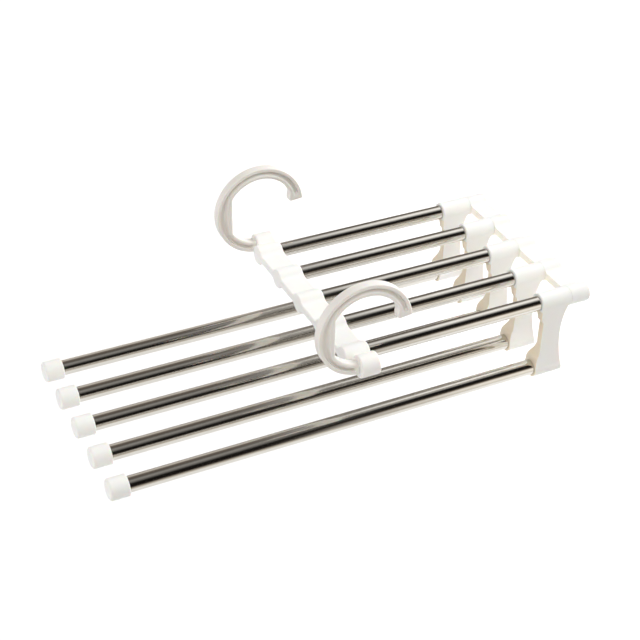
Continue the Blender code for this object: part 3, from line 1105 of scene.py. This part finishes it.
    def body(self) -> bpy.types.Mesh:
        """Make the plate with its socket's outside.

        Returns:
            The plate's mesh, with its left end at x 0 and the boss axis at z 0.
        """
        heights = self.heights()
        last = len(heights) - 1
        front = [(self.front(z), z) for z in heights]
        back = [(self.back(z), z) for z in heights[1:-1]]
        outline = front + list(reversed(back))
        steps = rim_steps(self.rim)

        def ring(advance: float, inset: float, edge: Edge, sign: int) -> list[Place]:
            """Return the outline moved inwards by inset and placed along X by the edge."""
            points = shrunk(outline, inset)
            return [(edge.at(z) + sign * advance, y, z) for y, z in points]

        def fill(work: bmesh.types.BMesh) -> None:
            """Loft from the left end to the right one, and close each end with level strips.

            Args:
                work: the bmesh that gets the faces.
            """
            rings = [ring(advance, inset, self.left_edge, 1) for advance, inset in steps]
            rings += [ring(advance, inset, self.right_edge, -1) for advance, inset in reversed(steps)]
            rows = [[work.verts.new(point) for point in points] for points in rings]
            count = len(outline)
            for row, following in zip(rows, rows[1:]):
                for index in range(count):
                    after = (index + 1) % count
                    work.faces.new((row[index], row[after], following[after], following[index]))
            for row in (rows[0], rows[-1]):
                for index in range(last):
                    corners = [row[index], row[index + 1], row[-index - 1], row[-index]]
                    if index == 0:
                        corners = [row[0], row[1], row[-1]]
                    elif index == last - 1:
                        corners = [row[index], row[index + 1], row[-index]]
                    work.faces.new(corners)

        return mesh_from("bracket", fill)

    def mesh(self) -> bpy.types.Mesh:
        """Make the whole bracket.

        Returns:
            The bracket's mesh, with its left end at x 0 and the boss axis at z 0.
        """
        boss = rimmed(0, self.length, self.boss_radius, (self.rim, self.seam_rim))
        boss_drill = bore(0, self.length / 2, self.bore_radius, self.mouth_chamfer)
        boss_drill += [(self.length - x, radius) for x, radius in reversed(boss_drill[:-1])]
        rod_drill = bore(0, self.rod_socket_depth, self.rod_bore_radius, self.mouth_chamfer)

        def fill_holes(work: bmesh.types.BMesh) -> None:
            """Add the drills of the boss and of the rod socket."""
            turned(work, boss_drill, BORE_SIDES)
            turned(work, rod_drill, BORE_SIDES, (0, -self.drop))

        tools = [
            (Operation.JOIN, turned_mesh("boss", boss, TUBE_SIDES)),
            (Operation.CUT, mesh_from("bores", fill_holes)),
        ]
        return combined(self.body(), tools)

    def build(self) -> None:
        """Build and dress the brackets."""
        mesh = self.mesh()
        for index in range(1, ARM_COUNT + 1):
            axis = Box.of(f"rail_tube_{index}").centre
            place = (self.box.low.x, axis.y, axis.z)
            self.dress(f"arm_bracket_{index}", "moulding", f"arm_{index}", Slot.PLASTIC, mesh, place)


@dataclass
class SwivelHooks(SubAssembly):
    """The two C hooks, each with the washer and the screw that keep it in its pivot."""

    band: float = 7.5 * MM
    flat: float = 3.55 * MM
    mouth_angle: float = math.radians(6)
    outer_edge: float = 0.7 * MM
    inner_bead: float = 1.4 * MM
    outer_rim: float = 2.2 * MM
    groove_width: float = 3.3 * MM
    groove_depth: float = 2.2 * MM
    groove_inner_wall: float = 2.2 * MM
    groove_outer_wall: float = 0.35 * MM
    groove_flat_share: float = 0.6
    groove_tip_end: float = 3.0 * MM
    groove_stem_end: float = 1.4 * MM
    catch: float = 1.7 * MM
    catch_flat: float = 2.5 * MM
    catch_ramp: float = 6.0 * MM
    end_round: float = 0.5 * MM
    stem_end: float = -3.02 * MM
    spigot_root: float = 1.0 * MM
    spigot_radius: float = 2.9 * MM
    stations: int = 180
    washer_hole: float = 1.4 * MM
    thread_radius: float = 1.1 * MM
    thread_pitch: float = 0.8 * MM
    thread_depth: float = 0.22 * MM
    recess_width: float = 0.7 * MM
    recess_reach: float = 1.5 * MM
    recess_depth: float = 0.9 * MM
    head_round_share: float = 1 / 3

    def __post_init__(self) -> None:
        """Read the hooks' size and place from the frame."""
        self.box = Box.of("hook_far")
        rail_z = Box.of("rail_tube_1").centre.z
        self.width = self.box.size.y
        self.outer_radius = (self.box.high.z - self.box.low.z) / 2
        self.inner_radius = self.outer_radius - self.band
        self.middle_radius = self.outer_radius - self.band / 2
        self.centre_z = self.box.high.z - self.outer_radius - rail_z

    def tip_catch(self, turn: float) -> float:
        """Shape the catch inside the tip, which keeps the rail in.

        Args:
            turn: a direction from the ring's centre.

        Returns:
            How far the band's inside stands in there.
        """
        from_tip = (turn - self.mouth_angle + 2 * math.pi) * self.middle_radius
        share = min(1.0, max(0.0, (from_tip - self.catch_flat) / self.catch_ramp))
        return self.catch * (1 + math.cos(math.pi * share)) / 2

    def half_section(self, turn: float, groove: float) -> list[Point]:
        """Return the (radius, y) points of one side of the band.

        Args:
            turn: the direction of the section from the ring's centre.
            groove: how deep its groove is there.

        Returns:
            The points from the inside of the ring to the outside, all with y above 0.
        """
        half = self.width / 2
        inner = self.inner_radius
        toward_flat = -math.cos(turn)
        if toward_flat > 0:
            inner = min(inner, (self.inner_radius - self.flat) / toward_flat)
        thicker = self.inner_radius - inner
        inner -= self.tip_catch(turn)
        groove_outer = self.outer_radius - self.outer_rim
        groove_inner = groove_outer - self.groove_width - thicker * self.groove_flat_share
        bead = self.inner_bead
        edge = self.outer_edge
        points = []
        for step in range(RIM_STEPS + 1):
            angle = math.pi - QUARTER_TURN * step / RIM_STEPS
            points.append((inner + bead + bead * math.cos(angle), half - bead + bead * math.sin(angle)))
        walls = [math.pi * step / GROOVE_STEPS for step in range(GROOVE_STEPS + 1)]
        for angle in walls:
            sunk = groove * (1 - math.cos(angle)) / 2
            points.append((groove_inner + self.groove_inner_wall * angle / math.pi, half - sunk))
        for angle in reversed(walls):
            sunk = groove * (1 - math.cos(angle)) / 2
            points.append((groove_outer - self.groove_outer_wall * angle / math.pi, half - sunk))
        for step in range(RIM_STEPS + 1):
            angle = QUARTER_TURN - QUARTER_TURN * step / RIM_STEPS
            centre = (self.outer_radius - edge, half - edge)
            points.append((centre[0] + edge * math.cos(angle), centre[1] + edge * math.sin(angle)))
        return points

    def section(self, turn: float, groove: float) -> list[Point]:
        """Return the closed (radius, y) outline of the band in the direction turn."""
        side = self.half_section(turn, groove)
        return side + [(radius, -y) for radius, y in reversed(side)]

    def ring_stations(self) -> list[Place]:
        """Choose the sections of the band, from beside the stem, under the ring, round the left to the tip.

        Returns:
            The turn, groove depth and inset of each section.
        """
        stem = -QUARTER_TURN - math.asin(-self.stem_end / self.inner_radius)
        tip = self.mouth_angle - 2 * math.pi
        ramp = self.groove_width / 2 / self.middle_radius
        first = stem - self.groove_stem_end / self.middle_radius
        last = tip + self.groove_tip_end / self.middle_radius
        steps = [math.pi * step / GROOVE_STEPS for step in range(GROOVE_STEPS + 1)]
        stations = []
        for turn in steps:
            depth = self.groove_depth * (1 - math.cos(turn)) / 2
            stations.append((first - ramp * turn / math.pi, depth, 0.0))
        start = first - ramp
        end = last + ramp
        for step in range(1, self.stations):
            stations.append((start + (end - start) * step / self.stations, self.groove_depth, 0.0))
        for turn in reversed(steps):
            depth = self.groove_depth * (1 - math.cos(turn)) / 2
            stations.append((last + ramp * turn / math.pi, depth, 0.0))
        rounds = [(advance / self.middle_radius, inset) for advance, inset in rim_steps(self.end_round)]
        return stations + [(tip + advance, 0.0, inset) for advance, inset in reversed(rounds)]

    def hook_mesh(self) -> bpy.types.Mesh:
        """Make a hook with its spigot and the hole for its screw.

        Returns:
            The hook's mesh, about its pivot axis.
        """
        spigot_end = Box.of("hook_washer_far").low.x - self.fit_gap
        spigot = [(self.stem_end - self.spigot_root, self.spigot_radius), (spigot_end, self.spigot_radius)]
        hole_floor = Box.of("hook_screw_far").low.x - self.fit_gap
        hole = [(hole_floor, self.washer_hole), (spigot_end + CUT_PAST, self.washer_hole)]

        def fill_ring(work: bmesh.types.BMesh) -> None:
            """Loft the band round the ring, from the stem's flat end, which meets the pivot barrel.

            Args:
                work: the bmesh that gets the faces.
            """
            x = self.stem_end
            stem = self.section(-QUARTER_TURN, 0.0)
            rings = [[(x, y, self.centre_z - math.sqrt(r**2 - x**2)) for r, y in stem]]
            for turn, groove, inset in self.ring_stations():
                outline = self.section(turn, groove)
                if inset > 0:
                    outline = [(r, y) for r, y in reversed(shrunk(list(reversed(outline)), inset))]
                rings.append(
                    [(r * math.cos(turn), y, self.centre_z + r * math.sin(turn)) for r, y in outline]
                )
            loft(work, rings)

        steps = [
            (Operation.JOIN, turned_mesh("spigot", spigot, BORE_SIDES)),
            (Operation.CUT, turned_mesh("screw_hole", hole, BORE_SIDES)),
        ]
        return combined(mesh_from("hook", fill_ring), steps)

    def washer_mesh(self) -> bpy.types.Mesh:
        """Make a washer.

        Returns:
            The washer's mesh, about the pivot axis.
        """
        box = Box.of("hook_washer_far")
        corners = [(box.low.x, box.size.z / 2), (box.high.x, box.size.z / 2)]
        corners += [(box.high.x, self.washer_hole), (box.low.x, self.washer_hole)]
        return turned_mesh("washer", corners, BORE_SIDES, ends=False)

    def blade(self, top: float, wide: float, high: float) -> bpy.types.Mesh:
        """Make one blade of the driver that the screw's cross recess fits.

        Args:
            top: the x of the screw head's top.
            wide: the blade's width along Y.
            high: its width along Z.

        Returns:
            The blade's mesh, half of it sunk in the head.
        """

        def fill(work: bmesh.types.BMesh) -> None:
            """Make a cube."""
            bmesh.ops.create_cube(work, size=1.0)

        mesh = mesh_from("blade", fill)
        scale = Matrix.Diagonal((2 * self.recess_depth, wide, high, 1))
        mesh.transform(Matrix.Translation(Vector((top, 0, 0))) @ scale)
        return mesh

    def screw_mesh(self) -> bpy.types.Mesh:
        """Make a pan head screw with its thread's ridges and a cross recess.

        Returns:
            The screw's mesh, about the pivot axis.
        """
        box = Box.of("hook_screw_far")
        head = box.size.z / 2
        seat = Box.of("hook_washer_far").high.x + self.fit_gap
        profile = [(box.low.x, self.thread_depth), (box.low.x + self.thread_radius, self.thread_radius)]
        ridge = box.low.x + self.thread_radius + self.thread_pitch / 2
        while ridge + self.thread_pitch / 2 < seat:
            profile.append((ridge, self.thread_radius - self.thread_depth))
            profile.append((ridge + self.thread_pitch / 2, self.thread_radius))
            ridge += self.thread_pitch
        half = (box.high.x - seat) / 2
        rounding = head * self.head_round_share
        profile += [(seat, self.thread_radius), (seat, head)]
        profile += [
            (seat + half + half * math.sin(turn), head - rounding * (1 - math.cos(turn)))
            for turn in (QUARTER_TURN * step / RIM_STEPS for step in range(RIM_STEPS + 1))
        ]
        narrow, reach = self.recess_width, 2 * self.recess_reach
        steps = [
            (Operation.CUT, self.blade(box.high.x, wide, high))
            for wide, high in ((narrow, reach), (reach, narrow))
        ]
        return combined(turned_mesh("screw", profile, BORE_SIDES), steps)

    def build(self) -> None:
        """Build and dress both hooks and their fasteners."""
        hook = self.hook_mesh()
        washer = self.washer_mesh()
        screw = self.screw_mesh()
        rail_z = Box.of("rail_tube_1").centre.z
        for side in Side:
            name = side.name.lower()
            place = (0, side.value * self.box.centre.y, rail_z)
            body = f"{name}_hook"
            self.dress(f"hook_{name}", "moulding", body, Slot.PLASTIC, hook, place)
            self.dress(f"hook_washer_{name}", "pressing", body, Slot.ZINC, washer, place)
            self.dress(f"hook_screw_{name}", "turning", body, Slot.ZINC, screw, place)


def seen_directly(tree: bpy.types.NodeTree) -> bpy.types.NodeSocket:
    """Tell the rays that show a thing from those that only light by it.

    Args:
        tree: the node tree that gets the nodes.

    Returns:
        A socket that is 1 for camera, glossy and transmission rays, so that metal shows the backdrop
        too, and else 0.
    """
    rays = add_node(tree, "ShaderNodeLightPath").outputs
    either = add_node(
        tree,
        "ShaderNodeMath",
        {"operation": "MAXIMUM"},
        {0: rays["Is Camera Ray"], 1: rays["Is Glossy Ray"]},
    ).outputs["Value"]
    return add_node(
        tree, "ShaderNodeMath", {"operation": "MAXIMUM"}, {0: either, 1: rays["Is Transmission Ray"]}
    ).outputs["Value"]


@dataclass(frozen=True)
class PaperFloor:
    """Seamless white paper, uncoated.

    To the eye it is an even matt white that keeps the rack's soft shadow. It glows a little, and the
    more the farther it is from its middle, to make up for the lamps' weaker light there.
    """

    name: str = "white_paper_floor"
    colour: str = "#F4F3F1"
    glow_colour: str = "#FFFFFF"
    near_glow: Point = (0.45, 0.04)
    far_glow: Point = (1.45, 0.51)

    def material(self) -> bpy.types.Material:
        """Build the material.

        Returns:
            The material, for a floor whose origin is its middle.
        """
        material, tree, output = new_material(self.name)
        diffuse = add_node(
            tree, "ShaderNodeBsdfDiffuse", {"Color": linear(self.colour)}
        ).outputs["BSDF"]
        place = add_node(tree, "ShaderNodeTexCoord").outputs["Object"]
        away = add_node(
            tree, "ShaderNodeVectorMath", {"operation": "LENGTH"}, {0: place}
        ).outputs["Value"]
        (near, least), (far, more) = self.near_glow, self.far_glow
        rise = add_node(
            tree,
            "ShaderNodeMapRange",
            {"From Min": near, "From Max": far, "To Min": least, "To Max": more, "clamp": False},
            {"Value": away},
        ).outputs["Result"]
        glow_at = add_node(
            tree, "ShaderNodeMath", {"operation": "MAXIMUM", 1: least}, {0: rise}
        ).outputs["Value"]
        strength = add_node(
            tree, "ShaderNodeMath", {"operation": "MULTIPLY"}, {0: glow_at, 1: seen_directly(tree)}
        ).outputs["Value"]
        glow = add_node(
            tree, "ShaderNodeEmission", {"Color": linear(self.glow_colour)}, {"Strength": strength}
        ).outputs["Emission"]
        both = add_node(tree, "ShaderNodeAddShader", links={0: diffuse, 1: glow}).outputs["Shader"]
        tree.links.new(both, output.inputs["Surface"])
        material.cycles.emission_sampling = "NONE"
        return material


@dataclass(frozen=True)
class TentCloth:
    """White and black cloth of a light tent, with a softbox over its right half.

    It shows only in gloss: to the eye it is the long light and dark bands of the steel tubes. The
    stops of each half are degrees round the tent, with 0 level in front and 90 straight up.
    """

    name: str = "tent_cloth"
    left: Stops = (
        (-62, "#F0EDE6"),
        (-45, "#FFFCF4"),
        (-32, "#F8F0E4"),
        (-20, "#B4ACA1"),
        (-10, "#544D46"),
        (0, "#1C1815"),
        (30, "#1C1A18"),
        (40, "#62605E"),
        (50, "#82807E"),
        (62, "#A4A29F"),
        (75, "#A4A29F"),
        (88, "#7C7975"),
        (103, "#6A625D"),
        (130, "#898076"),
        (141, "#E2DBD5"),
        (160, "#E8E2DA"),
    )
    right: Stops = (
        (-62, "#D2D0CA"),
        (-40, "#D4D0C8"),
        (-24, "#F4EEE4"),
        (-4, "#FFFCF8"),
        (5, "#E2D8CB"),
        (13, "#8C8378"),
        (21, "#4A443D"),
        (30, "#1C1916"),
        (60, "#0A0A0A"),
        (74, "#969594"),
        (89, "#EDECEA"),
        (98, "#FFFFFF"),
        (116, "#FFFFFF"),
        (125, "#D3CEC8"),
        (132, "#898580"),
        (149, "#6A645E"),
        (183, "#736C64"),
    )
    first_degree: float = -90.0
    whole_turn: float = 360.0
    half_border: Point = (0.18, 0.33)
    glow_rise: Point = (0.30, 0.44)
    glow: Point = (0.85, 1.3)

    def band(
        self, tree: bpy.types.NodeTree, share: bpy.types.NodeSocket, stops: Stops
    ) -> bpy.types.NodeSocket:
        """Colour one half of the tent.

        Args:
            tree: the node tree that gets the nodes.
            share: how far round the tent a point is, from 0 straight down to 1 there again.
            stops: the half's stops.

        Returns:
            The socket of its colour.
        """
        ramp = add_node(tree, "ShaderNodeValToRGB", links={"Fac": share})
        elements = ramp.color_ramp.elements
        while len(elements) < len(stops):
            elements.new(1.0)
        for element, (degrees, colour) in zip(elements, stops):
            element.position = (degrees - self.first_degree) / self.whole_turn
            element.color = linear(colour)
        return ramp.outputs["Color"]

    def material(self) -> bpy.types.Material:
        """Build the material.

        Returns:
            The material, for a tent whose origin is on its axis.
        """
        material, tree, output = new_material(self.name)
        place = add_node(tree, "ShaderNodeTexCoord").outputs["Object"]
        axes = add_node(tree, "ShaderNodeSeparateXYZ", links={"Vector": place}).outputs
        angle = add_node(
            tree, "ShaderNodeMath", {"operation": "ARCTAN2"}, {0: axes["Y"], 1: axes["Z"]}
        ).outputs["Value"]
        share = add_node(
            tree, "ShaderNodeMapRange", {"From Min": -math.pi, "From Max": math.pi}, {"Value": angle}
        ).outputs["Result"]
        left, right = (self.band(tree, share, stops) for stops in (self.left, self.right))
        start, end = self.half_border
        across = add_node(
            tree,
            "ShaderNodeMapRange",
            {"interpolation_type": "SMOOTHSTEP", "From Min": start, "From Max": end},
            {"Value": axes["X"]},
        ).outputs["Result"]
        colour = add_node(
            tree, "ShaderNodeMix", {"data_type": "RGBA"}, {0: across, MIX_FIRST: left, MIX_SECOND: right}
        ).outputs[MIXED]
        (start, end), (dim, bright) = self.glow_rise, self.glow
        strength = add_node(
            tree,
            "ShaderNodeMapRange",
            {"From Min": start, "From Max": end, "To Min": dim, "To Max": bright},
            {"Value": axes["X"]},
        ).outputs["Result"]
        glow = add_node(
            tree, "ShaderNodeEmission", links={"Color": colour, "Strength": strength}
        ).outputs["Emission"]
        tree.links.new(glow, output.inputs["Surface"])
        material.cycles.emission_sampling = "NONE"
        return material


@dataclass(frozen=True)
class Lamp:
    """A square area lamp that points at a part of the rack."""

    name: str
    place: Place
    width: float
    watts: float
    colour: str = "#FFFFFF"
    aim: Place = (0.0, 0.0, -0.05)

    def add(self) -> None:
        """Put the lamp in the scene; no camera or mirror sees it."""
        data = bpy.data.lights.new(self.name, "AREA")
        data.shape = "SQUARE"
        data.size = self.width
        data.energy = self.watts
        data.color = linear(self.colour)[:3]
        lamp = bpy.data.objects.new(self.name, data)
        lamp.location = self.place
        lamp.rotation_mode = "QUATERNION"
        lamp.rotation_quaternion = (Vector(self.aim) - Vector(self.place)).to_track_quat("-Z", "Y")
        lamp.visible_camera = False
        lamp.visible_glossy = False
        bpy.context.scene.collection.objects.link(lamp)


@dataclass
class Studio:
    """The white floor and backdrop, the lamps, the tent that the steel mirrors, and the camera."""

    floor_drop: float = 0.40
    floor_width: float = 14.0
    floor_centre: float = 0.40
    ambient: float = 0.235
    ambient_colour: str = "#FFFBF5"
    backdrop_colour: str = "#FFFFFF"
    tent_radius: float = 0.70
    tent_front: float = math.radians(-62)
    tent_left: float = -1.6
    tent_right: float = 2.4
    tent_sides: int = 90
    lens: float = 79.52
    sensor: float = 36.0
    azimuth: float = math.radians(-26.797)
    elevation: float = math.radians(34.725)
    roll: float = math.radians(1.403)
    eye: Place = (-0.31944, -0.65030, 0.43891)
    lamps: tuple[Lamp, ...] = (
        Lamp("key_lamp", (-0.6, -0.9, 1.5), 1.2, 14.8),
        Lamp("left_lamp", (-1.5, 0.0, 0.7), 1.0, 9.4, "#F6F8FF"),
        Lamp("right_lamp", (1.5, 0.0, 0.7), 1.0, 31.0, "#F8FAFF"),
        Lamp("low_right_lamp", (1.2, 0.3, -0.2), 0.6, 10.0),
    )

    def world(self) -> None:
        """Make the world white where it is seen and softer as a light."""
        world = bpy.data.worlds.new("studio")
        world.use_nodes = True
        bpy.context.scene.world = world
        tree = world.node_tree
        tree.nodes.clear()
        seen = seen_directly(tree)
        strength = add_node(
            tree, "ShaderNodeMapRange", {"To Min": self.ambient, "To Max": 1.0}, {"Value": seen}
        ).outputs["Result"]
        colour = add_node(
            tree,
            "ShaderNodeMix",
            {
                "data_type": "RGBA",
                MIX_FIRST: linear(self.ambient_colour),
                MIX_SECOND: linear(self.backdrop_colour),
            },
            {0: seen},
        ).outputs[MIXED]
        back = add_node(tree, "ShaderNodeBackground", links={"Color": colour, "Strength": strength})
        add_node(tree, "ShaderNodeOutputWorld", links={"Surface": back.outputs["Background"]})

    def floor(self, low: float) -> None:
        """Lay the floor below the rack.

        Args:
            low: the height of the rack's lowest point.
        """

        def fill(work: bmesh.types.BMesh) -> None:
            """Make one large square."""
            bmesh.ops.create_grid(work, x_segments=1, y_segments=1, size=self.floor_width / 2)

        mesh = mesh_from("floor", fill)
        mesh.materials.append(PaperFloor().material())
        floor = bpy.data.objects.new("floor", mesh)
        floor.location = (self.floor_centre, 0, low - self.floor_drop)
        bpy.context.scene.collection.objects.link(floor)

    def tent(self, axis_z: float) -> None:
        """Hang the tent over the rack, round a line along X. Only gloss shows it.

        Args:
            axis_z: the height of the line.
        """
        step_turn = (math.pi - self.tent_front) / self.tent_sides
        turns = [self.tent_front + step_turn * step for step in range(self.tent_sides + 1)]
        ends = (self.tent_left, self.tent_right)

        def fill(work: bmesh.types.BMesh) -> None:
            """Bend a sheet over the rack.

            Args:
                work: the bmesh that gets the faces.
            """
            reach = self.tent_radius
            rows = [
                [work.verts.new((x, -reach * math.cos(turn), reach * math.sin(turn))) for turn in turns]
                for x in ends
            ]
            for index in range(self.tent_sides):
                work.faces.new((rows[0][index], rows[0][index + 1], rows[1][index + 1], rows[1][index]))

        mesh = mesh_from("tent", fill)
        mesh.materials.append(TentCloth().material())
        tent = bpy.data.objects.new("tent", mesh)
        tent.location.z = axis_z
        tent.visible_camera = False
        tent.visible_diffuse = False
        tent.visible_shadow = False
        tent.visible_transmission = False
        bpy.context.scene.collection.objects.link(tent)

    def camera(self) -> None:
        """Set the camera where the photograph was taken from."""
        data = bpy.data.cameras.new("camera")
        data.lens = self.lens
        data.sensor_width = self.sensor
        camera = bpy.data.objects.new("camera", data)
        sin_a, cos_a = math.sin(self.azimuth), math.cos(self.azimuth)
        sin_e, cos_e = math.sin(self.elevation), math.cos(self.elevation)
        back = Vector((sin_a * cos_e, -cos_a * cos_e, sin_e))
        level = Vector((cos_a, sin_a, 0))
        right = level * math.cos(self.roll) + back.cross(level) * math.sin(self.roll)
        turn = Matrix((right, back.cross(right), back)).transposed()
        camera.matrix_world = Matrix.Translation(self.eye) @ turn.to_4x4()
        bpy.context.scene.collection.objects.link(camera)
        bpy.context.scene.camera = camera

    def build(self) -> None:
        """Set up the whole studio round the rack."""
        self.world()
        self.floor(CAD_BOX[0].z)
        self.tent(Box.of("rail_tube_3").centre.z)
        for lamp in self.lamps:
            lamp.add()
        self.camera()
        bpy.context.scene.view_settings.view_transform = "Standard"
        log.info("studio: floor, tent, %d lamps and camera", len(self.lamps))


def main() -> None:
    """Build the rack piece by piece, and the studio round it."""
    logging.basicConfig(level=logging.INFO, format="%(name)s: %(message)s")
    metals = (PolishedStainless().material(), ZincPlatedSteel().material())
    white = MouldedPlastic()
    # Painted warm light: the brackets' low faces that look left and the end bar's faces that look left take
    # a cream tint.
    painted_warm_light_left = MouldedPlastic(
        name="white_polypropylene_cream_left", painted_light_colour="#FCEBD2", painted_light_below=-4 * MM
    )
    painted_warm_light_web = MouldedPlastic(
        name="white_polypropylene_cream_web", painted_light_colour="#FFF7E9", painted_light_below=ABOVE_RACK
    )
    acetal = MouldedPlastic(
        name="natural_white_acetal", colour="#F2EEE8", flow_colour="#EEEAE2", painted_light_colour="#F2EEE8"
    )
    plastic = white.material()
    for kind in (HookBar, SteelTubes, RodCaps):
        kind(plastic, *metals).build()
    for kind, finish in ((ArmBrackets, painted_warm_light_left), (EndBar, painted_warm_light_web), (SwivelHooks, acetal)):
        kind(finish.material(), *metals).build()
    Studio().build()


if __name__ == "__main__":
    main()
